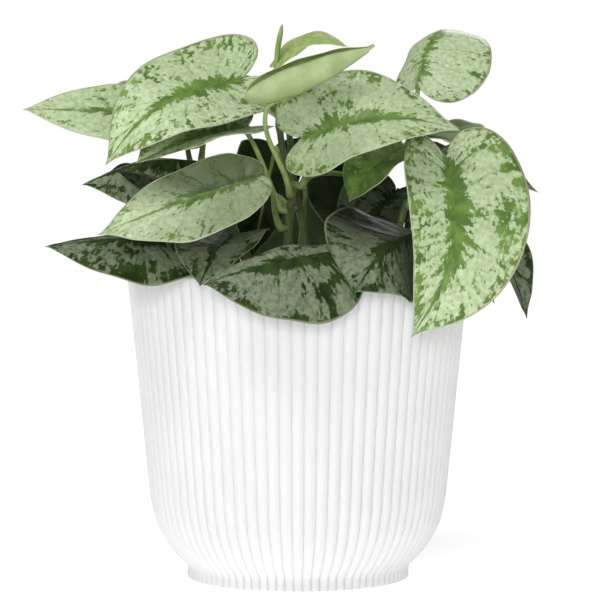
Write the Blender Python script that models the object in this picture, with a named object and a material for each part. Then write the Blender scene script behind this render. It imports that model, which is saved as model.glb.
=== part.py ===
"""Satin pothos in a ribbed white pot, at real size, in metres with +Z up.

The origin is the centre of the pot's flat underside. The pot, the soil, each vine stem and
each leaf with its stalk is an object of its own. Sizes and places below are in millimetres.
"""

from __future__ import annotations

import math
from dataclasses import dataclass

import bmesh
import bpy
import numpy as np

MM = 0.001

# Pot: height, rim radius, number of ribs round it and how deep the grooves are.
POT_HEIGHT = 126.5
RIM_RADIUS = 70.0
RIB_COUNT = 80
GROOVE_DEPTH = 0.9
FOOT_RADIUS = 45.4
WALL = 2.6
FLOOR_HEIGHT = 10.0
BODY_TURN_HEIGHT = 33.5
BODY_TURN_RADIUS = 60.7
INNER_SEGMENTS = 80

# Soil: height of its top at the wall, rise at the middle, and the gap to the pot's wall.
SOIL_HEIGHT = 112.5
SOIL_RISE = 1.5
SOIL_SEGMENTS = 40
GAP = 0.35
FOOT_BOTTOM = 95.5
FOOT_TOP = 116.5

# Leaves and stalks.
BLADE_THICKNESS = 0.8
STALK_DROP = 1.2
STALK_SIDES = 5
STEM_SIDES = 6

# Half of a leaf's outline, from the notch at the stalk to the tip.
# Across is in half-widths and along is in leaf lengths.
HALF_OUTLINE = (
    (0.00, 0.000), (0.10, -0.075), (0.33, -0.150), (0.64, -0.135), (0.88, -0.020),
    (0.99, 0.150), (0.98, 0.330), (0.88, 0.510), (0.69, 0.680), (0.43, 0.820),
    (0.19, 0.910), (0.06, 0.962), (0.00, 1.000),
)


@dataclass(frozen=True)
class Stem:
    """A vine stem: the points it runs through, from the soil up, and its radius."""

    name: str
    path: tuple
    radius: float


@dataclass(frozen=True)
class Leaf:
    """One leaf, placed by its stalk joint and its tip.

    Angles are in degrees. Pairs are for the left and right half, seen from above with the
    tip ahead. Spread scales each half's width. Fold lifts a half from the midrib, and curl is
    how much more it has turned up at half the width. Arch bends the midrib up and sway
    sideways, in leaf lengths. A furl above 0 rolls the blade up by that angle on each side.
    Lobe scales how far the two lobes reach behind the joint, and slant moves each half's widest
    part towards the tip, in leaf lengths.
    """

    name: str
    joint: tuple
    tip: tuple
    width: float
    roll: float
    arch: float = 0.1
    skew: float = 1.0
    sway: float = 0.0
    twist: float = 0.0
    spread: tuple = (1.0, 1.0)
    fold: tuple = (12.0, 12.0)
    curl: tuple = (10.0, 10.0)
    wave: float = 1.0
    phase: float = 0.0
    furl: float = 0.0
    lobe: float = 1.0
    slant: tuple = (0.0, 0.0)
    stem: str = ""
    at: float = 1.0
    out: tuple = ()
    root: tuple = ()
    stalk: float = 1.3
    rows: int = 11


STEMS = (
    Stem("stem_front", ((-3, -18, 116.5), (-4, -22, 139.5), (-2, -27, 161.5)), 1.8),
    Stem("stem_left_inner", ((-22, -10, 116.5), (-24, -11, 127), (-27, -13, 138)), 1.6),
    Stem("stem_left", ((-35, 9, 116.5), (-40, 12, 139.5), (-40, 16, 169.5)), 1.6),
    Stem("stem_right_front", ((29, -22, 116.5), (37, -26, 133.5), (43, -26, 153.5)), 1.6),
    Stem("stem_right", ((39, 11, 116.5), (45, 18, 139.5), (47, 20, 173.5)), 1.6),
    Stem("stem_back", ((0, 35, 116.5), (2, 38, 139.5), (-2, 34, 163.5), (-4, 28, 185.5)), 1.6),
    Stem("stem_centre", ((4, 6, 116.5), (2, 6, 143.5), (-6, 4, 173.5), (-9, 4, 199.5)), 1.6),
)

LEAVES = (
    Leaf("leaf_top_left", (-22, -16, 204.5), (-76, -45, 169.5), 50, -45, arch=0.17, skew=1.3, sway=0.04,
         spread=(0.88, 0.90), fold=(4, 4), curl=(0, 0), slant=(0.0, -0.14), stem="stem_centre",
         at=0.9),
    Leaf("leaf_far_left", (-48, 22, 186.5), (-113, 8, 191.5), 44, -60, arch=0.05, spread=(0.75, 0.6),
         fold=(6, 6), curl=(0, 0), phase=0.3, stem="stem_left", at=0.95),
    Leaf("leaf_left_high", (-21, -22, 184.5), (-64, -45, 170.5), 44, -25, arch=0.05,
         spread=(0.85, 1.0), fold=(20, 20), curl=(8, 8), phase=0.6, stem="stem_front", at=0.75,
         out=(-1, 0.2, 0)),
    Leaf("leaf_left_middle", (-28, 2, 168), (-88, -9, 161), 46, -30, arch=0.12, spread=(1.3, 0.5),
         fold=(-30, -25), curl=(-10, -15), phase=0.1, stem="stem_centre", at=0.42),
    Leaf("leaf_left_inner", (-38, -24, 154), (-73, -36, 168), 34, -45, arch=0.06, spread=(0.7, 0.6),
         fold=(-5, -30), curl=(0, 0), phase=0.5, stem="stem_left_inner", rows=8),
    Leaf("leaf_left_front", (-14, -50, 166), (-78, -62, 143), 54, -38, arch=0.02,
         spread=(0.86, 0.54), fold=(-4, 14), curl=(8, 25), lobe=0.3, slant=(0.24, 0.16), phase=0.8,
         stem="stem_front", at=0.6, out=(-1, -0.6, 0)),
    Leaf("leaf_rim_left", (-46, -46, 141.5), (-99, -59, 138.5), 48, -30, arch=0.02, fold=(-5, -25),
         curl=(-25, -10), phase=0.2, root=(-30, -34)),
    Leaf("leaf_rim_small", (-27, -38, 141.5), (-38, -70, 123.5), 38, -5, phase=0.9, root=(-14, -34),
         rows=8),
    Leaf("leaf_rim_front", (14, -66, 135.5), (-37, -76, 124.5), 56, -50, arch=0.06, spread=(1.0, 0.28),
         fold=(-2, -2), curl=(-20, -50), phase=0.4, root=(12, -44)),
    Leaf("leaf_rim_right", (46, -53, 144), (21, -83, 121), 56, -25, arch=0.15, spread=(0.9, 1.1),
         fold=(-58, -15), curl=(0, 25), lobe=0.6, slant=(0.16, 0.08), root=(34, -42)),
    Leaf("leaf_right_front", (58, -48, 172.5), (44, -70, 103.5), 54, -40, arch=0.08, sway=-0.12,
         spread=(1.1, 0.7), fold=(5, 5), curl=(0, 0), phase=0.7, stem="stem_right_front"),
    Leaf("leaf_right_high", (49, 15, 202.5), (69, 61, 222), 52, 0, arch=0.22, spread=(0.6, 1.08),
         fold=(-20, -4), curl=(-38, -25), phase=0.2, stem="stem_right"),
    Leaf("leaf_centre", (2, -46, 180.5), (64, -55, 183.5), 48, 65, twist=-40, arch=0.10, sway=-0.07,
         spread=(1.05, 0.8), fold=(2, 2), curl=(0, 0), phase=0.5, stem="stem_front", out=(1, -0.5, 0)),
    Leaf("leaf_furled", (-12, -44, 194.5), (30, -50, 216.5), 33, 30, arch=-0.05, furl=150, wave=0,
         stem="stem_front", at=0.92, out=(-0.2, -1, 0)),
    Leaf("leaf_young", (-8, -5, 211), (21, -9, 216.5), 20, 0, arch=0.22, wave=0.4, spread=(0.9, 0.55),
         fold=(20, -40), stem="stem_centre", stalk=1.0, rows=8),
    Leaf("leaf_centre_low", (41, -23, 177.5), (20, -30, 154.5), 30, -30, phase=0.6,
         stem="stem_right", at=0.9, rows=8),
    Leaf("leaf_right_middle", (59, 4, 162.5), (99, 8, 157.5), 36, 20, arch=0.12, phase=0.3,
         stem="stem_right", at=0.6, rows=8),
    Leaf("leaf_right_low", (64, 1, 149.5), (94, -2, 105.5), 42, 20, arch=0.12, phase=0.1,
         stem="stem_right", at=0.4),
    Leaf("leaf_right_inner", (40, 1, 158.5), (22, -18, 135.5), 38, -20, arch=0.05, phase=0.8,
         root=(24, 0), rows=8),
    Leaf("leaf_centre_back", (22, 10, 182.5), (68, -13, 182.5), 32, 20, arch=0.05, spread=(0.8, 1.0),
         phase=0.4, stem="stem_centre", at=0.6, rows=8),
    Leaf("leaf_back_left_high", (-40, 34, 198.5), (-83, 62, 188.5), 44, 0, arch=0.08, phase=0.2,
         stem="stem_left", rows=8),
    Leaf("leaf_back_left_low", (-41, 38, 151), (-76, 56, 127.5), 42, 20, arch=0.12, phase=0.7,
         stem="stem_left", at=0.3, rows=8),
    Leaf("leaf_back_right_high", (46, 41, 179.5), (77, 76, 170.5), 46, 0, phase=0.9,
         stem="stem_right", at=0.9, rows=8),
    Leaf("leaf_back_right_low", (47, 38, 151.5), (84, 57, 121.5), 44, -10, arch=0.15, phase=0.5,
         stem="stem_right", at=0.25, rows=8),
    Leaf("leaf_back_top", (-6, 40, 194.5), (-3, 92, 182.5), 46, 0, phase=0.1, stem="stem_back", rows=8),
    Leaf("leaf_back_low", (3, 70, 158), (2, 92, 110), 62, 0, arch=0.15, spread=(1.5, 1.0), lobe=0.3,
         phase=0.6, stem="stem_back", at=0.2, rows=8),
    Leaf("leaf_back_left", (-10, 36, 176), (-20, 60, 128), 36, 0, arch=0.0, spread=(0.85, 1.05),
         lobe=0.3, phase=0.3, stem="stem_back", at=0.75, rows=8),
    Leaf("leaf_back_right", (26, 47, 165), (27, 67, 130), 34, 0, arch=0.0, spread=(1.5, 0.6), phase=0.8,
         stem="stem_back", at=0.6, rows=8),
    Leaf("leaf_back_inner", (10, 9, 191.5), (33, 42, 198.5), 38, 0, arch=0.08, phase=0.4,
         stem="stem_centre", at=0.8, rows=8),
    Leaf("leaf_left_back", (-49, 19, 165.5), (-82, 29, 162.5), 32, 0, arch=0.05, phase=0.1,
         stem="stem_left", at=0.5, rows=8),
    Leaf("leaf_right_back", (60, 30, 173.5), (89, 53, 161.5), 38, -5, phase=0.7,
         stem="stem_right", at=0.75, rows=8),
    Leaf("leaf_rim_side", (58, -25, 136), (78, -43, 115), 26, 10, arch=0.12, spread=(0.6, 1.0), phase=0.2,
         root=(46, -14), rows=8),
)

# Sheath left standing beside the young leaf: the points it runs through.
SHEATH_PATH = ((-9.0, -4.5, 208.0), (-8.2, -4.5, 217.0), (-6.5, -4.5, 226.0))
SHEATH_RADII = (1.3, 1.2)

UP = np.array([0.0, 0.0, 1.0])


def unit(vectors: np.ndarray) -> np.ndarray:
    """Vectors scaled to length one."""
    return vectors / np.maximum(np.linalg.norm(vectors, axis=-1, keepdims=True), 1e-12)


def smooth(points, params: np.ndarray) -> np.ndarray:
    """Points of the Catmull-Rom curve through the given points, at params from 0 to 1."""
    knots = np.asarray(points, float)
    spans = len(knots) - 1
    along = np.clip(params, 0.0, 1.0) * spans
    index = np.minimum(along.astype(int), spans - 1)
    part = (along - index)[:, None]
    padded = np.vstack([2 * knots[0] - knots[1], knots, 2 * knots[-1] - knots[-2]])
    before, start, end, after = padded[index], padded[index + 1], padded[index + 2], padded[index + 3]
    cubic = 3 * (start - end) + after - before
    square = 2 * before - 5 * start + 4 * end - after
    return start + 0.5 * part * (end - before + part * (square + part * cubic))


def midrib(leaf: Leaf, stations: np.ndarray):
    """Points, tangents, upper normals and right-hand directions along a leaf's midrib.

    The midrib is the chord from joint to tip, bent by arch * length * sin(pi * t ** skew)
    along the leaf's upper side and by sway * length * sin(pi * t) to the side.
    """
    joint = np.array(leaf.joint, float)
    chord = np.array(leaf.tip, float) - joint
    length = np.linalg.norm(chord)
    ahead = chord / length
    level = unit(UP - ahead[2] * ahead)
    across = np.cross(ahead, level)

    def turned(angle):
        return level * np.cos(angle) + across * np.sin(angle)

    upper = turned(math.radians(leaf.roll))
    side = np.cross(ahead, upper)

    def point(t):
        rise = leaf.arch * length * np.sin(np.pi * t ** leaf.skew)
        shift = leaf.sway * length * np.sin(np.pi * t)
        return joint + ahead * (length * t)[:, None] + upper * rise[:, None] + side * shift[:, None]

    inside = np.clip(stations, 0.0, 1.0)
    step = 1e-3
    tangent = unit(point(np.clip(inside + step, 0, 1)) - point(np.clip(inside - step, 0, 1)))
    points = point(inside) + tangent * (length * np.minimum(stations, 0.0))[:, None]
    normal = turned(np.radians(leaf.roll + leaf.twist * inside)[:, None])
    normal = unit(normal - (normal * tangent).sum(1, keepdims=True) * tangent)
    return points, tangent, normal, np.cross(tangent, normal)


def blade_grid(leaf: Leaf, rows: int, columns: int) -> np.ndarray:
    """Upper surface of a blade as a grid of points, one row per station of the outline.

    Each row runs from one margin over the midrib to the other. Across a half, the angle grows
    from the fold by the curl, and the surface is its integral: an arc that starts at the fold.
    """
    steps = np.linspace(0.0, 1.0, rows + 1)
    outline = smooth(HALF_OUTLINE, steps)
    outline[:, 1] *= np.where(outline[:, 1] < 0.0, leaf.lobe, 1.0)
    share = np.linspace(-1.0, 1.0, 2 * columns + 1)
    middle = steps ** 1.2
    across = outline[:, :1] * share
    slant = np.where(share > 0.0, leaf.slant[1], leaf.slant[0])
    margin = outline[:, 1:] + slant * outline[:, :1] ** 2 * (1.0 - outline[:, 1:])
    along = middle[:, None] + (margin - middle[:, None]) * np.abs(share) ** 0.9
    reach = np.repeat(outline[:, :1], share.size, axis=1).ravel()
    points, _, normal, side = midrib(leaf, along.ravel())
    across_flat = across.ravel()
    sign = np.sign(across_flat)
    right = sign > 0
    half = leaf.width / 2
    if leaf.furl:
        turn = math.radians(leaf.furl)
        radius = np.maximum(reach * half / turn, 0.3)
        angle = np.abs(across_flat) / np.maximum(reach, 1e-6) * turn
        bent = radius * np.where(right, 1.0, 1.0 - 0.16 * angle / turn)
        sideways = bent * np.sin(angle)
        lift = radius - bent * np.cos(angle)
    else:
        distance = np.abs(across_flat) * half * np.where(right, leaf.spread[1], leaf.spread[0])
        fold = np.radians(np.where(right, leaf.fold[1], leaf.fold[0]))
        bend = np.radians(np.where(right, leaf.curl[1], leaf.curl[0])) / half
        bend = np.where(np.abs(bend) < 1e-6, 1e-6, bend)
        angle = fold + bend * distance
        sideways = (np.sin(angle) - np.sin(fold)) / bend
        lift = (np.cos(fold) - np.cos(angle)) / bend
        ripple = np.sin(2 * np.pi * (1.7 * along.ravel() + leaf.phase) + right * 1.3)
        lift = lift + leaf.wave * ripple * across_flat ** 2
    surface = points + side * (sign * sideways)[:, None] + normal * lift[:, None]
    return surface.reshape(rows + 1, share.size, 3)


def new_mesh_object(name: str, points: np.ndarray, faces: list) -> bpy.types.Object:
    """A mesh object from points in millimetres and faces, in the scene."""
    mesh = bpy.data.meshes.new(name)
    mesh.from_pydata((np.asarray(points) * MM).tolist(), [], faces)
    body = bmesh.new()
    body.from_mesh(mesh)
    bmesh.ops.remove_doubles(body, verts=body.verts, dist=1e-6)
    bmesh.ops.recalc_face_normals(body, faces=body.faces)
    body.to_mesh(mesh)
    body.free()
    made = bpy.data.objects.new(name, mesh)
    bpy.context.scene.collection.objects.link(made)
    return made


def blade_object(leaf: Leaf, columns: int = 3) -> bpy.types.Object:
    """The blade: its upper surface as triangles, thickened downwards."""
    grid = blade_grid(leaf, leaf.rows, columns)
    last = grid.shape[0] - 1
    width = grid.shape[1]
    grid[0, :] = grid[0, columns]
    grid[last, :] = grid[last, columns]
    faces = []
    for row in range(last):
        for column in range(width - 1):
            corner = row * width + column
            over = corner + width
            if row == last - 1:
                faces.append((corner, corner + 1, over))
                continue
            faces.append((corner, over + 1, over))
            if row > 0:
                faces.append((corner, corner + 1, over + 1))
    mesh = bpy.data.meshes.new(leaf.name)
    mesh.from_pydata((grid.reshape(-1, 3) * MM).tolist(), [], faces)
    body = bmesh.new()
    body.from_mesh(mesh)
    bmesh.ops.remove_doubles(body, verts=body.verts, dist=1e-6)
    body.to_mesh(mesh)
    body.free()
    made = bpy.data.objects.new(leaf.name, mesh)
    bpy.context.scene.collection.objects.link(made)
    solidify = made.modifiers.new("Thickness", "SOLIDIFY")
    solidify.thickness = BLADE_THICKNESS * MM
    solidify.offset = -1.0
    return made


def tube_object(name: str, path: np.ndarray, start: float, end: float, sides: int) -> bpy.types.Object:
    """A closed tube along a path, tapering from its start radius to its end radius."""
    tangent = unit(np.gradient(path, axis=0))
    first = np.cross(tangent[0], [0.0, 0.0, 1.0] if abs(tangent[0][2]) < 0.9 else [1.0, 0.0, 0.0])
    spoke = unit(first)
    turns = np.linspace(0.0, 2 * np.pi, sides, endpoint=False)[:, None]
    rings = []
    for point, ahead, radius in zip(path, tangent, np.linspace(start, end, len(path))):
        spoke = unit(spoke - ahead * (spoke @ ahead))
        other = np.cross(ahead, spoke)
        rings.append(point + radius * (np.cos(turns) * spoke + np.sin(turns) * other))
    faces = []
    for ring in range(len(path) - 1):
        for index in range(sides):
            here = ring * sides + index
            after = ring * sides + (index + 1) % sides
            faces.append((here, after, after + sides))
            faces.append((here, after + sides, here + sides))
    faces.append(tuple(reversed(range(sides))))
    faces.append(tuple(range((len(path) - 1) * sides, len(path) * sides)))
    return new_mesh_object(name, np.vstack(rings), faces)


def stem_path(stem: Stem) -> np.ndarray:
    """A stem's line: straight up out of the soil, then a smooth curve."""
    curve = smooth(stem.path, np.linspace(0.0, 1.0, 8))
    foot = np.array([curve[0][0], curve[0][1], FOOT_BOTTOM])
    return np.vstack([foot, curve])


def stalk_path(leaf: Leaf) -> np.ndarray:
    """A leaf stalk's line, from the stem or soil to the underside of the blade's midrib."""
    points, tangent, normal, _ = midrib(leaf, np.array([0.0, 0.07, 0.18]))
    under = points - normal * STALK_DROP
    if leaf.stem:
        stem = next(item for item in STEMS if item.name == leaf.stem)
        on_stem = smooth(stem.path, np.array([leaf.at]))[0]
        ends = smooth(stem.path, np.array([max(leaf.at - 0.02, 0.0), min(leaf.at + 0.02, 1.0)]))
        run = unit(ends[1] - ends[0])
        way = np.array(leaf.out, float) if leaf.out else np.array(leaf.joint, float) - on_stem
        out = unit(way - run * (way @ run))
        start = on_stem + out * (stem.radius + GAP)
        first = start + out * 1.6
        leave = unit(out * 0.5 + UP)
    else:
        start = np.array([leaf.root[0], leaf.root[1], FOOT_BOTTOM])
        first = np.array([leaf.root[0], leaf.root[1], FOOT_TOP])
        leave = UP
    distance = np.linalg.norm(under[0] - first)
    arrive = unit(tangent[0] * 0.6 + UP * 0.6 + normal[0] * 0.2)
    near = first + leave * distance * 0.4
    far = under[0] - arrive * distance * 0.33
    t = np.linspace(0.0, 1.0, 6)[:, None]
    back = 1.0 - t
    curve = back ** 3 * first + 3 * back ** 2 * t * near + 3 * back * t ** 2 * far + t ** 3 * under[0]
    return np.vstack([start, curve, under[1:]])


def settled(target: bpy.types.Object, others: list, operation: str) -> bpy.types.Object:
    """Applies the target's modifiers with a Boolean for each other object, and removes those."""
    for other in others:
        boolean = target.modifiers.new(other.name, "BOOLEAN")
        boolean.operation = operation
        boolean.object = other
    bpy.context.view_layer.update()
    graph = bpy.context.evaluated_depsgraph_get()
    mesh = bpy.data.meshes.new_from_object(target.evaluated_get(graph))
    target.modifiers.clear()
    spare = target.data
    target.data = mesh
    mesh.name = target.name
    bpy.data.meshes.remove(spare)
    for other in others:
        bpy.data.objects.remove(other)
    return target


def paint(target: bpy.types.Object, colour: tuple, roughness: float) -> None:
    """Gives an object a Principled material of its own."""
    material = bpy.data.materials.new(target.name)
    material.use_nodes = True
    shader = material.node_tree.nodes["Principled BSDF"]
    shader.inputs["Base Color"].default_value = (*colour, 1.0)
    shader.inputs["Roughness"].default_value = roughness
    shader.inputs["Metallic"].default_value = 0.0
    target.data.materials.clear()
    target.data.materials.append(material)


def ring(radius: float, height: float, count: int, groove: float = 0.0) -> np.ndarray:
    """Points of a level ring; with a groove, every other point lies that much further in."""
    turns = np.linspace(0.0, 2 * np.pi, count, endpoint=False)
    reach = radius - groove * (np.arange(count) % 2)
    return np.stack([reach * np.cos(turns), reach * np.sin(turns), np.full(count, height)], axis=1)


def lathe_faces(start: int, count: int, rows: int) -> list:
    """Quads between rows of equal rings whose points start at the given index."""
    faces = []
    for row in range(rows - 1):
        for index in range(count):
            here = start + row * count + index
            after = start + row * count + (index + 1) % count
            faces.append((here, after, after + count, here + count))
    return faces


def inner_profile() -> list:
    """Radius and height of the pot's inside, from the rim down to the floor."""
    return [
        (RIM_RADIUS - WALL - 0.4, POT_HEIGHT),
        (BODY_TURN_RADIUS - WALL, BODY_TURN_HEIGHT),
        (53.5, 21.5),
        (46.0, 13.0),
        (38.0, FLOOR_HEIGHT),
    ]


def build_pot() -> bpy.types.Object:
    """The pot: ribbed outside and foot, plain inside, flat underside."""
    fine = 2 * RIB_COUNT
    outside = [
        (FOOT_RADIUS - 0.5, 0.0, 0.6),
        (FOOT_RADIUS, 4.2, GROOVE_DEPTH),
        (46.4, 6.2, GROOVE_DEPTH),
        (49.6, 9.2, GROOVE_DEPTH),
        (53.8, 14.6, GROOVE_DEPTH),
        (58.2, 23.0, GROOVE_DEPTH),
        (BODY_TURN_RADIUS, BODY_TURN_HEIGHT, GROOVE_DEPTH),
        (RIM_RADIUS - 0.1, POT_HEIGHT - 1.2, GROOVE_DEPTH),
        (RIM_RADIUS - 0.7, POT_HEIGHT, 0.4),
    ]
    points = [ring(radius, height, fine, groove) for radius, height, groove in outside]
    faces = [tuple(reversed(range(fine)))]
    faces += lathe_faces(0, fine, len(outside))
    inner_start = fine * len(outside)
    inside = inner_profile()
    points += [ring(radius, height, INNER_SEGMENTS) for radius, height in inside]
    rim = fine * (len(outside) - 1)
    for index in range(INNER_SEGMENTS):
        after = (index + 1) % INNER_SEGMENTS
        crest, groove, next_crest = rim + 2 * index, rim + 2 * index + 1, rim + (2 * index + 2) % fine
        faces.append((crest, groove, inner_start + index))
        faces.append((groove, next_crest, inner_start + after))
        faces.append((groove, inner_start + after, inner_start + index))
    faces += lathe_faces(inner_start, INNER_SEGMENTS, len(inside))
    floor = inner_start + INNER_SEGMENTS * (len(inside) - 1)
    faces.append(tuple(range(floor, floor + INNER_SEGMENTS)))
    pot = new_mesh_object("pot", np.vstack(points), faces)
    paint(pot, (0.86, 0.86, 0.86), 0.55)
    return pot


def build_soil(feet: list) -> bpy.types.Object:
    """The soil filling the pot, with a plain hole for each stem or stalk that stands in it.

    Args:
        feet: x, y and radius of each stem or stalk in the soil.
    """
    shrink = math.cos(math.pi / INNER_SEGMENTS)
    points = [ring(inner_profile()[-1][0] * shrink - GAP, FLOOR_HEIGHT + GAP, SOIL_SEGMENTS)]
    for radius, height in reversed(inner_profile()[1:-1]):
        points.append(ring(radius * shrink - GAP, height + 0.5 * GAP, SOIL_SEGMENTS))
    slope = (inner_profile()[0][0] - inner_profile()[1][0]) / (POT_HEIGHT - BODY_TURN_HEIGHT)
    edge = inner_profile()[1][0] + slope * (SOIL_HEIGHT - BODY_TURN_HEIGHT)
    for share in (1.0, 0.9, 0.65, 0.35):
        level = ring((edge * shrink - GAP) * share, SOIL_HEIGHT + SOIL_RISE * (1 - share ** 2), SOIL_SEGMENTS)
        turns = np.arctan2(level[:, 1], level[:, 0])
        level[:, 2] += (share < 1.0) * 0.5 * np.sin(3 * turns + 9 * share) * np.cos(5 * turns)
        points.append(level)
    faces = [tuple(reversed(range(SOIL_SEGMENTS)))]
    faces += lathe_faces(0, SOIL_SEGMENTS, len(points))
    top = SOIL_SEGMENTS * (len(points) - 1)
    middle = SOIL_SEGMENTS * len(points)
    points.append(np.array([[0.0, 0.0, SOIL_HEIGHT + SOIL_RISE]]))
    for index in range(SOIL_SEGMENTS):
        faces.append((top + index, top + (index + 1) % SOIL_SEGMENTS, middle))
    soil = new_mesh_object("soil", np.vstack(points), faces)
    holes = []
    for x, y, radius in feet:
        line = np.array([[x, y, FOOT_BOTTOM - GAP], [x, y, FOOT_TOP + 5.0]])
        wide = (radius + GAP) / math.cos(math.pi / 8)
        holes.append(tube_object("hole", line, wide, wide, 8))
    settled(soil, holes, "DIFFERENCE")
    paint(soil, (0.035, 0.026, 0.02), 0.95)
    return soil


def build_leaf(leaf: Leaf) -> bpy.types.Object:
    """A leaf: its blade and its stalk as one solid."""
    blade = blade_object(leaf)
    parts = [tube_object(leaf.name + "_stalk", stalk_path(leaf), leaf.stalk, leaf.stalk * 0.7, STALK_SIDES)]
    if leaf.name == "leaf_young":
        line = smooth(SHEATH_PATH, np.linspace(0.0, 1.0, 4))
        parts.append(tube_object("sheath", line, SHEATH_RADII[0], SHEATH_RADII[1], STALK_SIDES))
    made = settled(blade, parts, "UNION")
    young = leaf.name in ("leaf_young", "leaf_furled")
    paint(made, (0.42, 0.52, 0.22) if young else (0.36, 0.46, 0.27), 0.5)
    return made


def main() -> None:
    """Clears the scene and builds every piece."""
    for item in list(bpy.data.objects):
        bpy.data.objects.remove(item)
    build_pot()
    feet = [(stem.path[0][0], stem.path[0][1], stem.radius) for stem in STEMS]
    feet += [(leaf.root[0], leaf.root[1], leaf.stalk) for leaf in LEAVES if leaf.root]
    build_soil(feet)
    for stem in STEMS:
        made = tube_object(stem.name, stem_path(stem), stem.radius, stem.radius * 0.85, STEM_SIDES)
        paint(made, (0.22, 0.32, 0.09), 0.5)
    for leaf in LEAVES:
        build_leaf(leaf)


if __name__ == "__main__":
    main()
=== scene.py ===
"""Satin pothos in a ribbed white pot: the finished pieces, their finishes and the studio.

Lengths are in millimetres until a mesh is made. The frame is in metres with +Z up, and its
origin is the centre of the pot's flat underside.
"""

from __future__ import annotations

import logging
import math
from dataclasses import dataclass
from enum import Enum

import bpy
import numpy as np
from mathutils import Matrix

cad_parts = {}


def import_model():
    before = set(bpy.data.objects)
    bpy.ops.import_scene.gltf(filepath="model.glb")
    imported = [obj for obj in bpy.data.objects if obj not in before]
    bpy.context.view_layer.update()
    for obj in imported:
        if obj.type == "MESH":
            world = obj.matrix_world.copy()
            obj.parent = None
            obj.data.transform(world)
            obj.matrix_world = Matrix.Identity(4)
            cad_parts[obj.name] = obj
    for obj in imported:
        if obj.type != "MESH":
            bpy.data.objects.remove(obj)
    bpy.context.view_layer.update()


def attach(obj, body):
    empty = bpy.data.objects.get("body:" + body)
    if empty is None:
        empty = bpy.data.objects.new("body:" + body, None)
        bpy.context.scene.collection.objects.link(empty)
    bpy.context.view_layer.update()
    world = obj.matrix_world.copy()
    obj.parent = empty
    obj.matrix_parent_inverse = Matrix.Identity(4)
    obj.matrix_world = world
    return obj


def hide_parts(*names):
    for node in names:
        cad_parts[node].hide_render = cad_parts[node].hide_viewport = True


LOG = logging.getLogger("satin_pothos")
MM = 0.001
BODY = "root"
UP = np.array([0.0, 0.0, 1.0])

# Half of a leaf's outline, from the notch at the stalk to the tip.
# Across is in half-widths and along is in leaf lengths.
HALF_OUTLINE = (
    (0.00, 0.000), (0.10, -0.075), (0.33, -0.150), (0.64, -0.135), (0.88, -0.020),
    (0.99, 0.150), (0.98, 0.330), (0.88, 0.510), (0.69, 0.680), (0.43, 0.820),
    (0.19, 0.910), (0.06, 0.962), (0.00, 1.000),
)

SOIL_TOP = 112.5
FOOT_BOTTOM = 95.5
FOOT_TOP = 116.5


# Curves and surfaces


def unit(vectors: np.ndarray) -> np.ndarray:
    """Vectors scaled to length one."""
    return vectors / np.maximum(np.linalg.norm(vectors, axis=-1, keepdims=True), 1e-12)


def smooth(points: tuple, params: np.ndarray) -> np.ndarray:
    """Catmull-Rom curve: on each span, the cubic through its ends with their neighbours' slopes.

    Args:
        points: The points the curve runs through.
        params: Places along the curve, from 0 to 1.

    Returns:
        One point for each place.
    """
    knots = np.asarray(points, float)
    spans = len(knots) - 1
    along = np.clip(params, 0.0, 1.0) * spans
    index = np.minimum(along.astype(int), spans - 1)
    part = (along - index)[:, None]
    padded = np.vstack([2 * knots[0] - knots[1], knots, 2 * knots[-1] - knots[-2]])
    before, start = padded[index], padded[index + 1]
    end, after = padded[index + 2], padded[index + 3]
    cubic = 3 * (start - end) + after - before
    square = 2 * before - 5 * start + 4 * end - after
    return start + 0.5 * part * (end - before + part * (square + part * cubic))


def bell(values: np.ndarray, centre: float, width: float) -> np.ndarray:
    """A soft hump: e to the power of minus the squared distance from the centre in widths."""
    return np.exp(-(((values - centre) / width) ** 2))


def around(radius: np.ndarray, turn: np.ndarray, height: np.ndarray) -> np.ndarray:
    """Points at a distance from the upright axis, an angle round it and a height."""
    return np.stack(np.broadcast_arrays(radius * np.cos(turn), radius * np.sin(turn), height), axis=-1)


def stand(name: str, data: bpy.types.ID) -> bpy.types.Object:
    """Puts a new object into the scene, made from its mesh, light or camera."""
    made = bpy.data.objects.new(name, data)
    bpy.context.scene.collection.objects.link(made)
    return made


@dataclass
class Skin:
    """A closed surface: rings of points, one after another, with a point at either end.

    Each quad joins two neighbours on a ring to the same two on the next ring, and each end is
    a fan of triangles to its point.
    """

    rings: np.ndarray
    first: np.ndarray
    last: np.ndarray
    slots: np.ndarray | None = None
    maps: np.ndarray | None = None
    tone: np.ndarray | None = None

    def points(self) -> np.ndarray:
        """All points: the rings', then the two ends'."""
        return np.vstack([self.rings.reshape(-1, 3), self.first, self.last])

    def faces(self) -> tuple[np.ndarray, np.ndarray]:
        """The faces, wound so that the volume they hold is positive.

        Returns:
            Quads and triangles, as point numbers.
        """
        rows, columns = self.rings.shape[:2]
        row, column = np.meshgrid(np.arange(rows - 1), np.arange(columns), indexing="ij")
        here = row * columns + column
        beside = row * columns + (column + 1) % columns
        quads = np.stack([here, beside, beside + columns, here + columns], -1).reshape(-1, 4)
        turn = np.arange(columns)
        after = (turn + 1) % columns
        base = (rows - 1) * columns
        opening = np.full(columns, rows * columns)
        tris = np.vstack([
            np.stack([after, turn, opening], -1),
            np.stack([base + turn, base + after, opening + 1], -1),
        ])
        points = self.points()
        halves = np.vstack([quads[:, [0, 1, 2]], quads[:, [0, 2, 3]], tris])
        a, b, c = (points[halves[:, i]] for i in range(3))
        if np.einsum("ij,ij->i", a, np.cross(b, c)).sum() < 0:
            quads, tris = quads[:, ::-1], tris[:, ::-1]
        return quads, tris

    def face_slots(self) -> np.ndarray:
        """Material slot of each face: by column for the quads, and the same for the ends."""
        rows, columns = self.rings.shape[:2]
        of_column = np.zeros(columns, int) if self.slots is None else self.slots
        return np.concatenate([np.tile(of_column, rows - 1), of_column, of_column])


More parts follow.
